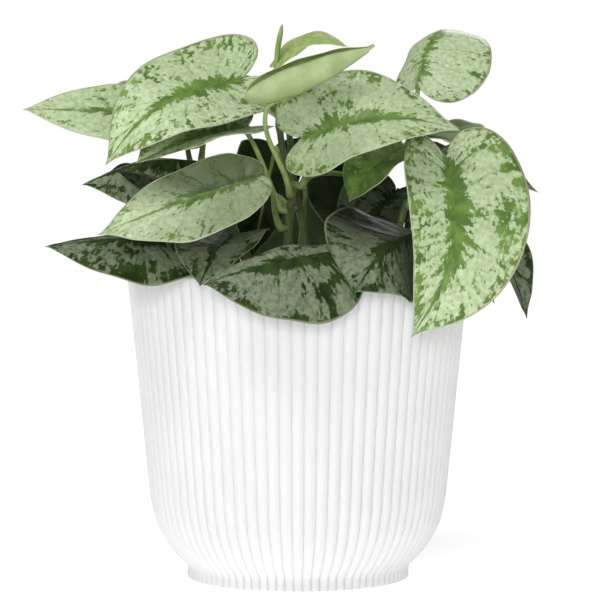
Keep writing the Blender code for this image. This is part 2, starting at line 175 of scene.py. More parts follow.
def tube(path: np.ndarray, radii: np.ndarray, sides: int, channel: np.ndarray) -> Skin:
    """A tube along a path, with a shallow channel down one side.

    Each ring lies square to the path. Its radius at an angle is the path's radius, less the
    channel's share times a soft hump about angle 0. Angle 0 points along the best-fit plane of
    the path, so the rings don't twist.

    Args:
        path: Points of the middle line.
        radii: Radius at each point.
        sides: Points on each ring.
        channel: Depth of the channel at each point, as a share of the radius.

    Returns:
        The closed surface.
    """
    tangent = unit(np.gradient(path, axis=0))
    centred = path - path.mean(axis=0)
    flat = np.linalg.svd(centred, full_matrices=False)[2][2]
    spoke = unit(np.cross(tangent, flat))
    spoke = spoke * np.where(spoke[:, 2:].mean() < 0, -1.0, 1.0)
    other = np.cross(tangent, spoke)
    turns = np.linspace(-np.pi, np.pi, sides, endpoint=False)
    reach = radii[:, None] * (1.0 - channel[:, None] * bell(turns, 0.0, 0.5)[None, :])
    rings = (
        path[:, None, :]
        + (reach * np.cos(turns))[..., None] * spoke[:, None, :]
        + (reach * np.sin(turns))[..., None] * other[:, None, :]
    )
    return Skin(rings, path[:1] - tangent[:1] * radii[0] * 0.3, path[-1:] + tangent[-1:] * radii[-1] * 0.6)


@dataclass
class Piece:
    """A finished object of the part, put together from closed surfaces."""

    name: str
    node: str

    def make(self, skins: list[Skin], materials: list[bpy.types.Material],
             values: dict[str, float], sharp: float = 0.0) -> bpy.types.Object:
        """Makes the mesh, its map, its values and its material slots, and puts it on the frame.

        Args:
            skins: The surfaces, each with its slots, maps and tone.
            materials: Materials in slot order.
            values: Values that are the same all over the piece, kept as attributes.
            sharp: Angle in degrees past which an edge is sharp; none if 0.

        Returns:
            The object, at the origin, riding on the body and standing for its node.
        """
        points, faces, slots, maps, tones = [], [], [], [], []
        start = 0
        for skin in skins:
            found = skin.points()
            quads, tris = skin.faces()
            points.append(found)
            faces += (quads + start).tolist()
            faces += (tris + start).tolist()
            slots.append(skin.face_slots())
            maps.append(np.zeros((len(found), 2)) if skin.maps is None else skin.maps)
            tones.append(np.zeros(len(found)) if skin.tone is None else skin.tone)
            start += len(found)
        mesh = bpy.data.meshes.new(self.name)
        mesh.from_pydata((np.vstack(points) * MM).tolist(), [], faces)
        mesh.polygons.foreach_set("material_index", np.concatenate(slots).astype(np.int32))
        mesh.polygons.foreach_set("use_smooth", np.ones(len(faces), bool))
        corners = np.empty(len(mesh.loops), np.int32)
        mesh.loops.foreach_get("vertex_index", corners)
        layer = mesh.uv_layers.new(name="surface")
        layer.data.foreach_set("uv", np.vstack(maps)[corners].astype(np.float32).ravel())
        shade = mesh.attributes.new("tone", "FLOAT", "POINT")
        shade.data.foreach_set("value", np.concatenate(tones).astype(np.float32))
        for key, value in values.items():
            held = mesh.attributes.new(key, "FLOAT", "POINT")
            held.data.foreach_set("value", np.full(start, value, np.float32))
        for material in materials:
            mesh.materials.append(material)
        mesh.update()
        if sharp:
            mesh.set_sharp_from_angle(angle=math.radians(sharp))
        made = stand(self.name, mesh)
        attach(made, BODY)
        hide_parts(self.node)
        LOG.info("%s: %d points, %d faces", self.name, start, len(faces))
        return made


# Materials


class Graph:
    """Short ways to add and join the nodes of one material or node group."""

    def __init__(self, tree: bpy.types.NodeTree) -> None:
        """Keeps the tree that the nodes go into."""
        self.tree = tree

    def node(self, kind: str, **settings: object) -> bpy.types.Node:
        """Adds a node.

        Args:
            kind: The node's type in Blender.
            settings: Its options and their values.

        Returns:
            The node.
        """
        made = self.tree.nodes.new(kind)
        for key, value in settings.items():
            setattr(made, key, value)
        return made

    def feed(self, socket: bpy.types.NodeSocket, value: object) -> None:
        """Links another socket into this one, or sets a plain value on it.

        Args:
            socket: The input.
            value: A socket or a plain value.
        """
        if isinstance(value, bpy.types.NodeSocket):
            self.tree.links.new(value, socket)
        else:
            socket.default_value = value

    def math(self, operation: str, *values: object) -> bpy.types.NodeSocket:
        """One sum of up to three numbers.

        Args:
            operation: The sum's name in Blender.
            values: Numbers or sockets.

        Returns:
            The result.
        """
        made = self.node("ShaderNodeMath", operation=operation)
        for socket, value in zip(made.inputs, values):
            self.feed(socket, value)
        return made.outputs[0]

    def vector(self, x: object, y: object, z: object) -> bpy.types.NodeSocket:
        """A vector.

        Args:
            x: A number or a socket, and so are the others.
            y: The second.
            z: The third.

        Returns:
            The vector.
        """
        made = self.node("ShaderNodeCombineXYZ")
        for socket, value in zip(made.inputs, (x, y, z)):
            self.feed(socket, value)
        return made.outputs[0]

    def noise(self, place: object, scale: float, detail: float = 2.0,
              rough: float = 0.5) -> bpy.types.NodeSocket:
        """Smooth random values at a place.

        Args:
            place: Where to read the noise.
            scale: Cells in one unit of the place.
            detail: How many finer noises are laid on it.
            rough: How strong each finer one is.

        Returns:
            Values around 0.5.
        """
        made = self.node("ShaderNodeTexNoise")
        self.feed(made.inputs["Vector"], place)
        made.inputs["Scale"].default_value = scale
        made.inputs["Detail"].default_value = detail
        made.inputs["Roughness"].default_value = rough
        return made.outputs["Fac"]

    def ramp(self, value: object, low: object, high: object,
             start: float = 0.0, end: float = 1.0) -> bpy.types.NodeSocket:
        """A soft step.

        Args:
            value: What decides.
            low: Where the step begins.
            high: Where it ends.
            start: Result up to low.
            end: Result from high on.

        Returns:
            The result.
        """
        made = self.node("ShaderNodeMapRange", interpolation_type="SMOOTHSTEP")
        for socket, given in zip(made.inputs, (value, low, high, start, end)):
            self.feed(socket, given)
        return made.outputs["Result"]

    def mix(self, share: object, first: object, second: object) -> bpy.types.NodeSocket:
        """A colour between two.

        Args:
            share: 0 for the first colour, 1 for the second.
            first: A colour or a socket.
            second: A colour or a socket.

        Returns:
            The mixed colour.
        """
        made = self.node("ShaderNodeMix", data_type="RGBA")
        self.feed(made.inputs[0], share)
        self.feed(made.inputs[6], first)
        self.feed(made.inputs[7], second)
        return made.outputs[2]

    def bump(self, height: object, strength: float, distance: float) -> bpy.types.NodeSocket:
        """A normal bent by a height.

        Args:
            height: The height, from 0 to about 1.
            strength: How much of the bend is used.
            distance: Metres that a height of 1 stands for.

        Returns:
            The bent normal.
        """
        made = self.node("ShaderNodeBump")
        self.feed(made.inputs["Height"], height)
        made.inputs["Strength"].default_value = strength
        made.inputs["Distance"].default_value = distance
        return made.outputs["Normal"]

    def value(self, name: str) -> bpy.types.NodeSocket:
        """A number that the piece carries."""
        return self.node("ShaderNodeAttribute", attribute_name=name).outputs["Fac"]

    def place(self) -> bpy.types.NodeSocket:
        """The place in the part's frame, in metres."""
        return self.node("ShaderNodeTexCoord").outputs["Object"]

    def group(self, tree: bpy.types.NodeTree, **inputs: object) -> bpy.types.Node:
        """A node group in use.

        Args:
            tree: The group's nodes.
            inputs: What each named input gets.

        Returns:
            The group's node.
        """
        made = self.node("ShaderNodeGroup", node_tree=tree)
        for key, value in inputs.items():
            self.feed(made.inputs[key], value)
        return made


def new_group(name: str, inputs: tuple[tuple[str, str], ...],
              outputs: tuple[tuple[str, str], ...]) -> tuple[Graph, bpy.types.Node, bpy.types.Node]:
    """An empty node group with named sockets.

    Args:
        name: The group's name.
        inputs: Name and socket type of each input.
        outputs: Name and socket type of each output.

    Returns:
        The group's graph, its input node and its output node.
    """
    tree = bpy.data.node_groups.new(name, "ShaderNodeTree")
    for label, kind in inputs:
        tree.interface.new_socket(label, in_out="INPUT", socket_type=kind)
    for label, kind in outputs:
        tree.interface.new_socket(label, in_out="OUTPUT", socket_type=kind)
    graph = Graph(tree)
    return graph, graph.node("NodeGroupInput"), graph.node("NodeGroupOutput")


def mottle_group() -> bpy.types.NodeTree:
    """Uneven tone: broad noise with a finer one on it, and their height for a bump.

    Returns:
        The group's nodes, built once.
    """
    known = bpy.data.node_groups.get("uneven_tone")
    if known:
        return known
    graph, given, result = new_group(
        "uneven_tone",
        (("Place", "NodeSocketVector"), ("Scale", "NodeSocketFloat")),
        (("Tone", "NodeSocketFloat"), ("Height", "NodeSocketFloat")),
    )
    sized = graph.node("ShaderNodeVectorMath", operation="SCALE")
    graph.feed(sized.inputs[0], given.outputs["Place"])
    graph.feed(sized.inputs["Scale"], given.outputs["Scale"])
    broad = graph.noise(sized.outputs[0], 1.0, 3.0, 0.5)
    fine = graph.noise(sized.outputs[0], 6.0, 3.0, 0.6)
    graph.feed(result.inputs["Tone"], graph.ramp(broad, 0.3, 0.7))
    graph.feed(result.inputs["Height"], graph.math("ADD", broad, graph.math("MULTIPLY", fine, 0.4)))
    return graph.tree


# Cells of a satin leaf's noises, along the midrib and out to the margin.
STREAK_CELLS = (42.0, 4.2)
FLECK_CELLS = (60.0, 17.0)
ISLAND_CELLS = (8.0, 2.2)
TONE_CELLS = (16.0, 2.5)

# Side veins on each half of a leaf.
SIDE_VEINS = 9.0


def satin_group() -> bpy.types.NodeTree:
    """The silver patches and side veins of a satin leaf, on its surface map.

    The map runs from margin to margin across the leaf and along the side veins' order from
    the notch to the tip. Silver is where a level is above zero. The level rises from the
    midrib band, falls again near the margin, dips along the side veins, and has noise on it
    that is drawn out along the veins. Fine is how much the small flecks count, and Broad how
    much the wide islands do.

    Returns:
        The group's nodes, built once.
    """
    known = bpy.data.node_groups.get("satin_variegation")
    if known:
        return known
    graph, given, result = new_group(
        "satin_variegation",
        (("Surface", "NodeSocketVector"), ("Seed", "NodeSocketFloat"), ("Silver", "NodeSocketFloat"),
         ("Fine", "NodeSocketFloat"), ("Broad", "NodeSocketFloat")),
        (("Silver", "NodeSocketFloat"), ("Rim", "NodeSocketFloat"), ("Vein", "NodeSocketFloat"),
         ("Tone", "NodeSocketFloat"), ("Height", "NodeSocketFloat")),
    )
    split = graph.node("ShaderNodeSeparateXYZ")
    graph.feed(split.inputs[0], given.outputs["Surface"])
    across, order = split.outputs["X"], split.outputs["Y"]
    centred = graph.math("MULTIPLY_ADD", across, 2.0, -1.0)
    share = graph.math("ABSOLUTE", centred)
    side = graph.math("GREATER_THAN", centred, 0.0)
    depth = graph.math("MULTIPLY_ADD", given.outputs["Seed"], 7.3, graph.math("MULTIPLY", side, 3.7))

    def drawn(cells: tuple[float, float], detail: float, rough: float) -> bpy.types.NodeSocket:
        """Noise around 0, with that many cells along the midrib and out to the margin."""
        spot = graph.vector(graph.math("MULTIPLY", order, cells[0]),
                            graph.math("MULTIPLY", share, cells[1]), depth)
        return graph.math("SUBTRACT", graph.noise(spot, 1.0, detail, rough), 0.5)

    streaks = drawn(STREAK_CELLS, 3.0, 0.6)
    flecks = drawn(FLECK_CELLS, 2.0, 0.6)
    islands = drawn(ISLAND_CELLS, 2.0, 0.5)
    wander = graph.math("MULTIPLY", islands, 0.6)
    beat = graph.math("FRACT", graph.math("MULTIPLY_ADD", order, SIDE_VEINS, wander))
    from_vein = graph.math("ABSOLUTE", graph.math("SUBTRACT", beat, 0.5))
    wedge = graph.ramp(from_vein, graph.math("MULTIPLY_ADD", share, -0.22, 0.25), 0.0, 0.0, 0.09)
    from_band = graph.math("MINIMUM", graph.math("MULTIPLY_ADD", share, 1.6, -0.26), 0.16)
    level = graph.math("SUBTRACT", from_band, graph.ramp(share, 0.5, 1.0, 0.0, 0.13))
    level = graph.math("SUBTRACT", level, wedge)
    level = graph.math("MULTIPLY_ADD", streaks, 1.0, level)
    level = graph.math("MULTIPLY_ADD", flecks, given.outputs["Fine"], level)
    level = graph.math("MULTIPLY_ADD", islands, given.outputs["Broad"], level)
    level = graph.math("ADD", level, given.outputs["Silver"])
    line = graph.math("MULTIPLY", graph.ramp(from_vein, 0.03, 0.0), graph.ramp(share, 1.0, 0.5))
    graph.feed(result.inputs["Silver"], graph.ramp(level, -0.06, 0.07))
    graph.feed(result.inputs["Rim"], graph.ramp(share, 0.962, 0.985))
    graph.feed(result.inputs["Vein"], line)
    graph.feed(result.inputs["Tone"], graph.ramp(drawn(TONE_CELLS, 3.0, 0.5), -0.18, 0.18))
    puffed = graph.ramp(level, -0.03, 0.12, 0.0, 0.5)
    graph.feed(result.inputs["Height"], graph.math("MULTIPLY_ADD", line, -0.6, puffed))
    return graph.tree


Colour = tuple[float, float, float]


def rgba(colour: Colour) -> tuple[float, float, float, float]:
    """A colour with full alpha."""
    return (*colour, 1.0)


# Share of light that passes into green tissue, by colour.
TISSUE = (0.8, 1.0, 0.3)

# How much of the silver's red, green and blue is left where a blade is in full shade.
SHADE_TINT = (0.20, 0.22, 0.165)
SHADE_GREEN = 0.45
SHADE_MOST = 0.9


@dataclass(frozen=True)
class Finish:
    """A finish whose material is built once. Each kind has its own roughness, shine and paint."""

    name: str

    def material(self) -> bpy.types.Material:
        """The material, with this finish's roughness, shine and paint.

        Returns:
            The one there is by this name, or a new one.
        """
        known = bpy.data.materials.get(self.name)
        if known:
            return known
        made = bpy.data.materials.new(self.name)
        made.use_nodes = True
        shader = made.node_tree.nodes["Principled BSDF"]
        shader.inputs["Roughness"].default_value = self.roughness
        shader.inputs["Specular IOR Level"].default_value = self.shine
        self.paint(Graph(made.node_tree), shader)
        return made

    def paint(self, graph: Graph, shader: bpy.types.Node) -> None:
        """Feeds the shader, in the way of this kind of finish."""
        raise NotImplementedError


def let_light_in(shader: bpy.types.Node, weight: float, depth: float) -> None:
    """Makes living tissue glow a little with light from inside.

    Args:
        shader: The material's shader.
        weight: How much of its look comes from inside.
        depth: How far the light runs, in metres.
    """
    shader.inputs["Subsurface Weight"].default_value = weight
    shader.inputs["Subsurface Radius"].default_value = TISSUE
    shader.inputs["Subsurface Scale"].default_value = depth


@dataclass(frozen=True)
class BladeFinish(Finish):
    """Upper side of a leaf: green with silver patches, a pale rim and fine side veins."""

    green: Colour
    deep: Colour
    silver: Colour
    bright: Colour
    rim: Colour
    roughness: float = 0.44
    satin: float = 0.36
    shine: float = 0.22
    fine: float = 0.65
    broad: float = 0.6
    cells: float = 560.0

    def paint(self, graph: Graph, shader: bpy.types.Node) -> None:
        """Silver over green by the patches, both darkened by the painted shade in the tone, then the rim.

        Args:
            graph: The material's nodes.
            shader: The shader to feed.
        """
        surface = graph.node("ShaderNodeUVMap", uv_map="surface").outputs[0]
        satin = graph.group(satin_group(), Surface=surface, Seed=graph.value("seed"),
                            Silver=graph.value("silver"), Fine=self.fine, Broad=self.broad)
        uneven = graph.group(mottle_group(), Place=graph.place(), Scale=self.cells)
        # Painted shade: where the tone is high, green turns dark and silver turns dim.
        shade = graph.math("MULTIPLY", graph.value("tone"), SHADE_MOST)
        dark = rgba(tuple(channel * SHADE_GREEN for channel in self.deep))
        silver_in_painted_shade = rgba(tuple(channel * share for channel, share in zip(self.silver, SHADE_TINT)))
        green = graph.mix(satin.outputs["Tone"], rgba(self.deep), rgba(self.green))
        green = graph.mix(shade, green, dark)
        silver = graph.mix(uneven.outputs["Tone"], rgba(self.silver), rgba(self.bright))
        silver = graph.mix(shade, silver, silver_in_painted_shade)
        veined = graph.math("MULTIPLY_ADD", satin.outputs["Vein"], -0.35, satin.outputs["Silver"])
        colour = graph.mix(veined, green, silver)
        colour = graph.mix(satin.outputs["Rim"], colour, rgba(self.rim))
        graph.feed(shader.inputs["Base Color"], colour)
        graph.feed(shader.inputs["Roughness"],
                   graph.ramp(satin.outputs["Silver"], 0.0, 1.0, self.roughness, self.satin))
        fine = graph.math("MULTIPLY_ADD", uneven.outputs["Height"], 0.25, satin.outputs["Height"])
        graph.feed(shader.inputs["Normal"], graph.bump(fine, 0.5, 0.0004))
        let_light_in(shader, 0.12, 0.0012)


@dataclass(frozen=True)
class UnderFinish(Finish):
    """Underside of a leaf: plain green with faint side veins and a pale rim."""

    green: Colour
    pale: Colour
    rim: Colour
    roughness: float = 0.5
    shine: float = 0.18
    cells: float = 120.0

    def paint(self, graph: Graph, shader: bpy.types.Node) -> None:
        """Green to pale by broad noise, paler on the veins, then the rim.

        Args:
            graph: The material's nodes.
            shader: The shader to feed.
        """
        surface = graph.node("ShaderNodeUVMap", uv_map="surface").outputs[0]
        satin = graph.group(satin_group(), Surface=surface, Seed=graph.value("seed"),
                            Silver=graph.value("silver"))
        uneven = graph.group(mottle_group(), Place=graph.place(), Scale=self.cells)
        colour = graph.mix(uneven.outputs["Tone"], rgba(self.green), rgba(self.pale))
        colour = graph.mix(graph.math("MULTIPLY", satin.outputs["Vein"], 0.45), colour, rgba(self.pale))
        colour = graph.mix(satin.outputs["Rim"], colour, rgba(self.rim))
        graph.feed(shader.inputs["Base Color"], colour)
        raised = graph.math("MULTIPLY_ADD", satin.outputs["Vein"], 0.9,
                            graph.math("MULTIPLY", uneven.outputs["Height"], 0.3))
        graph.feed(shader.inputs["Normal"], graph.bump(raised, 0.5, 0.0004))
        let_light_in(shader, 0.2, 0.0015)


@dataclass(frozen=True)
class StalkFinish(Finish):
    """Skin of stalks and vine stems: green, streaked along, and browner where the tone is high."""

    green: Colour
    pale: Colour
    dry: Colour
    roughness: float = 0.42
    shine: float = 0.3
    cells: float = 420.0
    stretch: tuple = (1.0, 1.0, 0.25)

    def paint(self, graph: Graph, shader: bpy.types.Node) -> None:
        """Green to pale by noise drawn out upwards, and dry brown with a ragged edge.

        Args:
            graph: The material's nodes.
            shader: The shader to feed.
        """
        stretched = graph.node("ShaderNodeMapping")
        graph.feed(stretched.inputs["Vector"], graph.place())
        stretched.inputs["Scale"].default_value = self.stretch
        uneven = graph.group(mottle_group(), Place=stretched.outputs[0], Scale=self.cells)
        colour = graph.mix(uneven.outputs["Tone"], rgba(self.green), rgba(self.pale))
        ragged = graph.math("MULTIPLY_ADD", uneven.outputs["Height"], 0.35, graph.value("tone"))
        colour = graph.mix(graph.ramp(ragged, 0.5, 0.95), colour, rgba(self.dry))
        graph.feed(shader.inputs["Base Color"], colour)
        graph.feed(shader.inputs["Normal"], graph.bump(uneven.outputs["Height"], 0.35, 0.0003))
        let_light_in(shader, 0.15, 0.0015)


@dataclass(frozen=True)
class PotFinish(Finish):
    """Matt white plastic with a fine moulded grain and a faint unevenness."""

    white: Colour
    shade: Colour
    roughness: float = 0.42
    shine: float = 0.5
    cells: float = 45.0
    grain: float = 1900.0

    def paint(self, graph: Graph, shader: bpy.types.Node) -> None:
        """White to its shade by broad noise, which also moves the roughness, and a grain.

        Args:
            graph: The material's nodes.
            shader: The shader to feed.
        """
        uneven = graph.group(mottle_group(), Place=graph.place(), Scale=self.cells)
        grain = graph.group(mottle_group(), Place=graph.place(), Scale=self.grain)
        graph.feed(shader.inputs["Base Color"],
                   graph.mix(uneven.outputs["Tone"], rgba(self.white), rgba(self.shade)))
        smoother, rougher = self.roughness - 0.04, self.roughness + 0.06
        graph.feed(shader.inputs["Roughness"],
                   graph.ramp(uneven.outputs["Tone"], 0.0, 1.0, smoother, rougher))
        graph.feed(shader.inputs["Normal"], graph.bump(grain.outputs["Height"], 0.12, 0.0001))


@dataclass(frozen=True)
class SoilFinish(Finish):
    """Damp potting soil: dark crumbs and fibres, lighter where the tone is high."""

    dark: Colour
    brown: Colour
    fibre: Colour
    roughness: float = 0.9
    shine: float = 0.1
    cells: float = 260.0

    def paint(self, graph: Graph, shader: bpy.types.Node) -> None:
        """Dark to brown by noise, and fibre colour where the tone is high.

        Args:
            graph: The material's nodes.
            shader: The shader to feed.
        """
        crumbs = graph.group(mottle_group(), Place=graph.place(), Scale=self.cells)
        colour = graph.mix(crumbs.outputs["Tone"], rgba(self.dark), rgba(self.brown))
        colour = graph.mix(graph.ramp(graph.value("tone"), 0.55, 1.0), colour, rgba(self.fibre))
        graph.feed(shader.inputs["Base Color"], colour)
        graph.feed(shader.inputs["Normal"], graph.bump(crumbs.outputs["Height"], 0.9, 0.0012))


@dataclass(frozen=True)
class FloorFinish(Finish):
    """A pale studio floor with a faint unevenness, and a glow that is weaker near the pot."""

    pale: Colour
    shade: Colour
    near: Colour
    far: Colour
    glow: float
    roughness: float = 0.7
    shine: float = 0.5
    cells: float = 6.0
    reach: tuple = (0.15, 0.9)

    def paint(self, graph: Graph, shader: bpy.types.Node) -> None:
        """Pale to its shade by broad noise, and a glow that grows with distance.

        Args:
            graph: The material's nodes.
            shader: The shader to feed.
        """
        uneven = graph.group(mottle_group(), Place=graph.place(), Scale=self.cells)
        graph.feed(shader.inputs["Base Color"],
                   graph.mix(uneven.outputs["Tone"], rgba(self.pale), rgba(self.shade)))
        distance = graph.node("ShaderNodeVectorMath", operation="LENGTH")
        graph.feed(distance.inputs[0], graph.place())
        far_share = graph.ramp(distance.outputs["Value"], *self.reach)
        graph.feed(shader.inputs["Emission Color"],
                   graph.mix(far_share, rgba(self.near), rgba(self.far)))
        shader.inputs["Emission Strength"].default_value = self.glow


class LeafAgeAndPaintedShade(Enum):
    """A leaf's finish: new and bright keep the leaf's own colours; shaded, inner and back are painted
    shade.
    """

    NEW = "new"
    BRIGHT = "bright"
    SHADED = "shaded"
    INNER = "inner"
    BACK = "back"


# The shaded, inner and back finishes are painted shade: darker, less shiny copies of the leaf finishes with
# a dim rim, for leaves under others, deep inside the plant and at the back. The shaded one also has the
# greyer green of older leaves.
RIM_PALE = (0.60, 0.66, 0.44)
RIM_DIM = (0.22, 0.27, 0.16)
BLADES = {
    LeafAgeAndPaintedShade.BRIGHT: BladeFinish("satin_leaf_bright", (0.18, 0.30, 0.06), (0.085, 0.16, 0.028),
                                (0.395, 0.505, 0.27), (0.56, 0.67, 0.42), RIM_PALE),
    LeafAgeAndPaintedShade.SHADED: BladeFinish("satin_leaf_shaded", (0.036, 0.072, 0.013), (0.013, 0.028, 0.006),
                                (0.125, 0.16, 0.095), (0.22, 0.265, 0.17), RIM_DIM, shine=0.08,
                                fine=0.35, broad=1.15),
    LeafAgeAndPaintedShade.INNER: BladeFinish("satin_leaf_inner_painted_shade", (0.012, 0.024, 0.006), (0.005, 0.010, 0.003),
                               (0.035, 0.05, 0.026), (0.06, 0.08, 0.045), (0.07, 0.10, 0.045), shine=0.05,
                               broad=1.0),
    LeafAgeAndPaintedShade.NEW: BladeFinish("new_leaf", (0.38, 0.51, 0.18), (0.28, 0.40, 0.12),
                             (0.46, 0.56, 0.29), (0.54, 0.63, 0.37), RIM_PALE),
}
UNDERS = {
    LeafAgeAndPaintedShade.BRIGHT: UnderFinish("leaf_underside", (0.20, 0.31, 0.10), (0.30, 0.40, 0.18), RIM_PALE),
    LeafAgeAndPaintedShade.SHADED: UnderFinish("shaded_underside", (0.05, 0.08, 0.026), (0.09, 0.13, 0.05), RIM_DIM),
    LeafAgeAndPaintedShade.INNER: UnderFinish("inner_underside_painted_shade", (0.006, 0.011, 0.004), (0.012, 0.020, 0.007),
                               (0.04, 0.055, 0.025), shine=0.03),
    LeafAgeAndPaintedShade.NEW: UnderFinish("new_underside", (0.32, 0.42, 0.18), (0.42, 0.51, 0.27), RIM_PALE),
}
# Back leaves: the shaded upper side, and an underside darkened almost to black as painted shade for the
# hollow between the leaves.
BLADES[LeafAgeAndPaintedShade.BACK] = BLADES[LeafAgeAndPaintedShade.SHADED]
UNDERS[LeafAgeAndPaintedShade.BACK] = UnderFinish("back_underside_painted_shade", (0.022, 0.036, 0.013), (0.040, 0.060, 0.024),
                                   (0.09, 0.12, 0.06), shine=0.06)
STALK = StalkFinish("leaf_stalk", (0.19, 0.30, 0.07), (0.32, 0.43, 0.15), (0.24, 0.18, 0.08))
# Vine stems get a darker copy of the stalk finish: painted shade for the hollow between the leaves.
VINE_PAINTED_SHADE = StalkFinish("vine_stem", (0.06, 0.10, 0.023), (0.115, 0.165, 0.05), (0.09, 0.065, 0.03))
POT_WHITE = PotFinish("matt_white_plastic", (0.81, 0.81, 0.81), (0.79, 0.79, 0.795))
SOIL_DARK = SoilFinish("damp_soil", (0.012, 0.009, 0.006), (0.05, 0.034, 0.022), (0.16, 0.11, 0.065))
PALE_FLOOR = FloorFinish("pale_floor", (0.90, 0.90, 0.90), (0.88, 0.88, 0.88), (0.66, 0.66, 0.66),
                         (1.0, 1.0, 1.0), 0.77)


# Pot and soil


@dataclass
class RibbedPot:
    """The pot: convex ribs all round, on the wall, the curved lower body and the foot."""

    height: float = 126.5
    rim_radius: float = 70.0
    foot_radius: float = 45.4
    rib_count: int = 80
    rib_depth: float = 1.4
    rib_points: int = 14
    rib_power: float = 0.58
    foot_round: float = 0.9
    rim_round: float = 1.6
    lip_round: float = 0.7
    sharp: float = 38.0
    bowl: tuple = ((45.4, 2.2), (45.4, 4.2), (46.4, 6.2), (49.6, 9.2), (53.8, 14.6), (58.2, 23.0),
                   (60.7, 33.5))
    inside: tuple = ((58.1, 33.5), (53.5, 21.5), (46.0, 13.0), (38.0, 10.0))

    def profile(self) -> np.ndarray:
        """Rows of radius, height and rib depth, from the underside up, over the rim and down inside.

        The lower body is a smooth curve through its points, the wall is straight, and the rim
        and the foot's edges are quarter rounds.

        Returns:
            One row for each ring of the mesh.
        """
        depth, bend, edge = self.rib_depth, self.foot_round, self.rim_round
        quarter = np.linspace(0.0, np.pi / 2, 5)
        foot = np.stack([self.foot_radius - bend + bend * np.sin(quarter), bend - bend * np.cos(quarter),
                         depth * (0.5 + 0.5 * np.sin(quarter))], axis=1)
        curve = smooth(self.bowl, np.linspace(0.0, 1.0, 25))
        bowl = np.column_stack([curve, np.full(25, depth)])
        wall_share = np.linspace(0.12, 1.0, 6)
        turn, turn_height = self.bowl[-1]
        wall = np.stack([turn + (self.rim_radius - 0.15 - turn) * wall_share,
                         turn_height + (self.height - edge - turn_height) * wall_share,
                         np.full(6, depth)], axis=1)
        over = np.linspace(0.15, 1.0, 6) * np.pi / 2
        rim = np.stack([self.rim_radius - edge + 1.45 * np.cos(over),
                        self.height - edge + edge * np.sin(over), depth * np.cos(over) ** 0.7], axis=1)
        lip, soft = self.rim_radius - 2.2, self.lip_round
        inner_rim = np.stack([lip - soft * np.sin(quarter), self.height - soft + soft * np.cos(quarter),
                              np.zeros(5)], axis=1)
        inner = np.column_stack([np.array(self.inside), np.zeros(len(self.inside))])
        return np.vstack([foot, bowl, wall, rim, inner_rim, inner])

    def build(self) -> bpy.types.Object:
        """The pot's mesh.

        At a height and a turn, the radius is the profile's, less the rib depth times one minus
        the size of the cosine of half the ribs' turn to a low power: round ribs, sharp grooves.

        Returns:
            The finished object.
        """
        rows = self.profile()
        turns = np.linspace(0.0, 2 * np.pi, self.rib_count * self.rib_points, endpoint=False)
        rib = 1.0 - np.abs(np.cos(turns * self.rib_count / 2)) ** self.rib_power
        reach = rows[:, :1] - rows[:, 2:3] * rib[None, :]
        rings = around(reach, turns, rows[:, 1:2])
        skin = Skin(rings, np.array([[0.0, 0.0, 0.0]]), np.array([[0.0, 0.0, rows[-1, 1]]]))
        return Piece("ribbed_pot", "pot").make([skin], [POT_WHITE.material()], {}, self.sharp)


